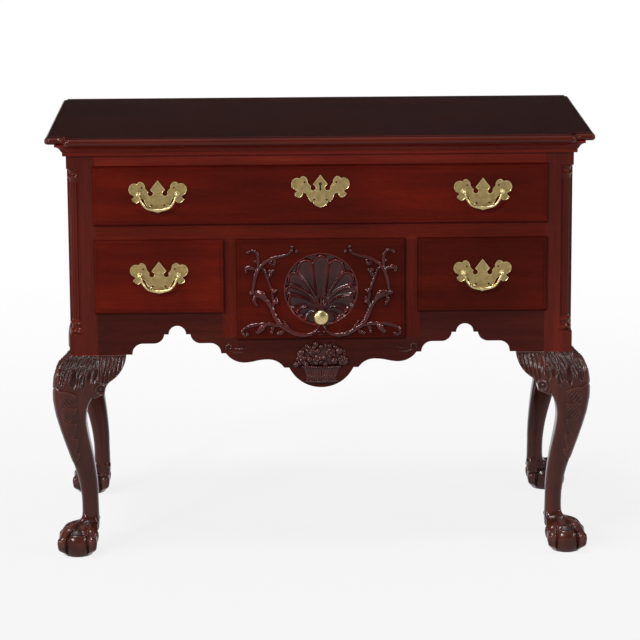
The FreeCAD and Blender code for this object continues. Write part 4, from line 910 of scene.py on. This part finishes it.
def run_moulding():
    """A flat band below a cove, carried round the front and both sides with mitred corners."""
    bm = bmesh.new()
    start = [bm.verts.new(Vector((-CASE_SIDE - out, CASE_BACK, up)) * MM) for out, up in BED_PROFILE]
    rim = [bm.edges.new(pair) for pair in zip(start, start[1:] + start[:1])]
    bmesh.ops.edgenet_fill(bm, edges=rim)
    for stop in ("left_corner", "right_corner", "back"):
        run = bmesh.ops.extrude_edge_only(bm, edges=rim)["geom"]
        rim = [item for item in run if isinstance(item, bmesh.types.BMEdge)]
        for vertex in [item for item in run if isinstance(item, bmesh.types.BMVert)]:
            if stop == "left_corner":
                vertex.co.y = vertex.co.x + (CASE_SIDE + CASE_FRONT) * MM
            elif stop == "right_corner":
                vertex.co.x = -vertex.co.x
            else:
                vertex.co.y = CASE_BACK * MM
    bmesh.ops.edgenet_fill(bm, edges=rim)
    bmesh.ops.recalc_face_normals(bm, faces=bm.faces)
    add_piece("bed_moulding_run", bm, "case", "bed", ["bed_moulding"], crease=28)


# The columns' turned capitals and bases, as (radius, height) profiles

CAPITAL = ((17, 709), (21, 709), (22.3, 707.6), (22.3, 705.8), (21, 704.4), (19.6, 703.6), (19.2, 700),
           (19.4, 697), (20.6, 696), (22, 694.8), (22.3, 693), (21.6, 691.2), (20, 690.2), (19.4, 688),
           (17, 688))
BASE = ((17, 432), (19.6, 432), (20.4, 430.5), (21.6, 429), (21.6, 427), (20, 425.4), (19.6, 422),
        (20, 418.5), (22, 416.5), (22.6, 413.5), (22.2, 410.5), (21, 409.4), (22.6, 408.6), (22.6, 407),
        (17, 407))
RING_STEPS = 56


def turn_rings(name, profile):
    """The same turned ring at the head or foot of both corner columns."""
    bm = bmesh.new()
    for side in (-1, 1):
        line = [bm.verts.new((radius * MM, 0, up * MM)) for radius, up in profile]
        edges = [bm.edges.new(pair) for pair in zip(line, line[1:])]
        bmesh.ops.spin(bm, geom=line + edges, axis=(0, 0, 1), cent=(0, 0, 0), angle=2 * math.pi,
                       steps=RING_STEPS, use_merge=True)
        new = [vertex for vertex in bm.verts if abs(vertex.co.x) < 0.1]
        bmesh.ops.translate(bm, vec=(side * COLUMN_SIDE * MM, COLUMN_PLACE * MM, 0), verts=new)
    bmesh.ops.remove_doubles(bm, verts=bm.verts, dist=JOIN)
    bmesh.ops.recalc_face_normals(bm, faces=bm.faces)
    add_piece(name + "_turned", bm, "case", "post", [name], crease=50)


# The brasses: the left half of a bail, as (aside, up, half-width) knots from its pivots' middle

BAIL = ((-34.5, 0, 1.9), (-31.6, -6, 2.0), (-27.6, -15, 2.0), (-20, -23.4, 2.2), (-9, -27, 2.5),
        (0, -27.8, 2.9))
PLATE_BEVEL, PLATE_SLOPE = 1.0, 0.8
PLATES = (("upper_left_handle_plate", "long_drawer"), ("upper_right_handle_plate", "long_drawer"),
          ("lower_left_handle_plate", "left_drawer"), ("lower_right_handle_plate", "right_drawer"),
          ("escutcheon", "long_drawer"))


def bevel_plate(node, body):
    """A brass plate with a bright sloped rim; its holes keep their plain edges."""
    bm = from_cad(node)
    front = min(vertex.co.y for vertex in bm.verts)
    face = {item for item in bm.faces if item.calc_center_median().y < front + 0.05 * MM}
    borders = {edge for item in face for edge in item.edges
               if sum(other in face for other in edge.link_faces) == 1}
    loops = []
    while borders:
        loop, ends = set(), {borders.pop()}
        while ends:
            loop |= ends
            borders -= ends
            ends = {other for edge in ends for vertex in edge.verts
                    for other in vertex.link_edges if other in borders}
        loops.append(loop)
    outer = max(loops, key=lambda loop: sum(edge.calc_length() for edge in loop))
    outline = {vertex for edge in outer for vertex in edge.verts}
    rim = bmesh.ops.inset_region(bm, faces=list(face), thickness=PLATE_BEVEL * MM,
                                 use_even_offset=True)["faces"]
    for item in rim:
        if sum(vertex in outline for vertex in item.verts) > 1:
            item.material_index = 1
    for vertex in outline:
        vertex.co.y += PLATE_SLOPE * MM
    obj = add_piece(node + "_bevelled", bm, body, "brass", [node], crease=25, flats=True)
    obj.data.materials.append(FINISH["bright_brass"])


def bend_bail(name, x, z):
    """A bail bent from rod, a little thicker at the middle of its grip."""
    bm = bmesh.new()
    whole = list(BAIL) + [(-aside, up, width) for aside, up, width in reversed(BAIL[:-1])]
    stroke(bm, [(x + aside, z + up, width) for aside, up, width in whole], PULL_PLACE, rise=1.0)
    add_piece(name + "_bail_bent", bm, name + "_bail", "bright_brass", [name + "_handle_bail"],
              crease=60)


# Putting it together

for hand in ("left", "right"):
    carve_leg("front", hand)
    carve_leg("rear", hand)
    for row, up in PULL_HEIGHTS.items():
        bend_bail("%s_%s" % (row, hand), PULL_SIDE if hand == "right" else -PULL_SIDE, up)
run_moulding()
turn_rings("column_capitals", CAPITAL)
turn_rings("column_bases", BASE)
carve_shell()
carve_vines()
carve_basket()
for node, body in PLATES:
    bevel_plate(node, body)

make_camera()
make_stage()
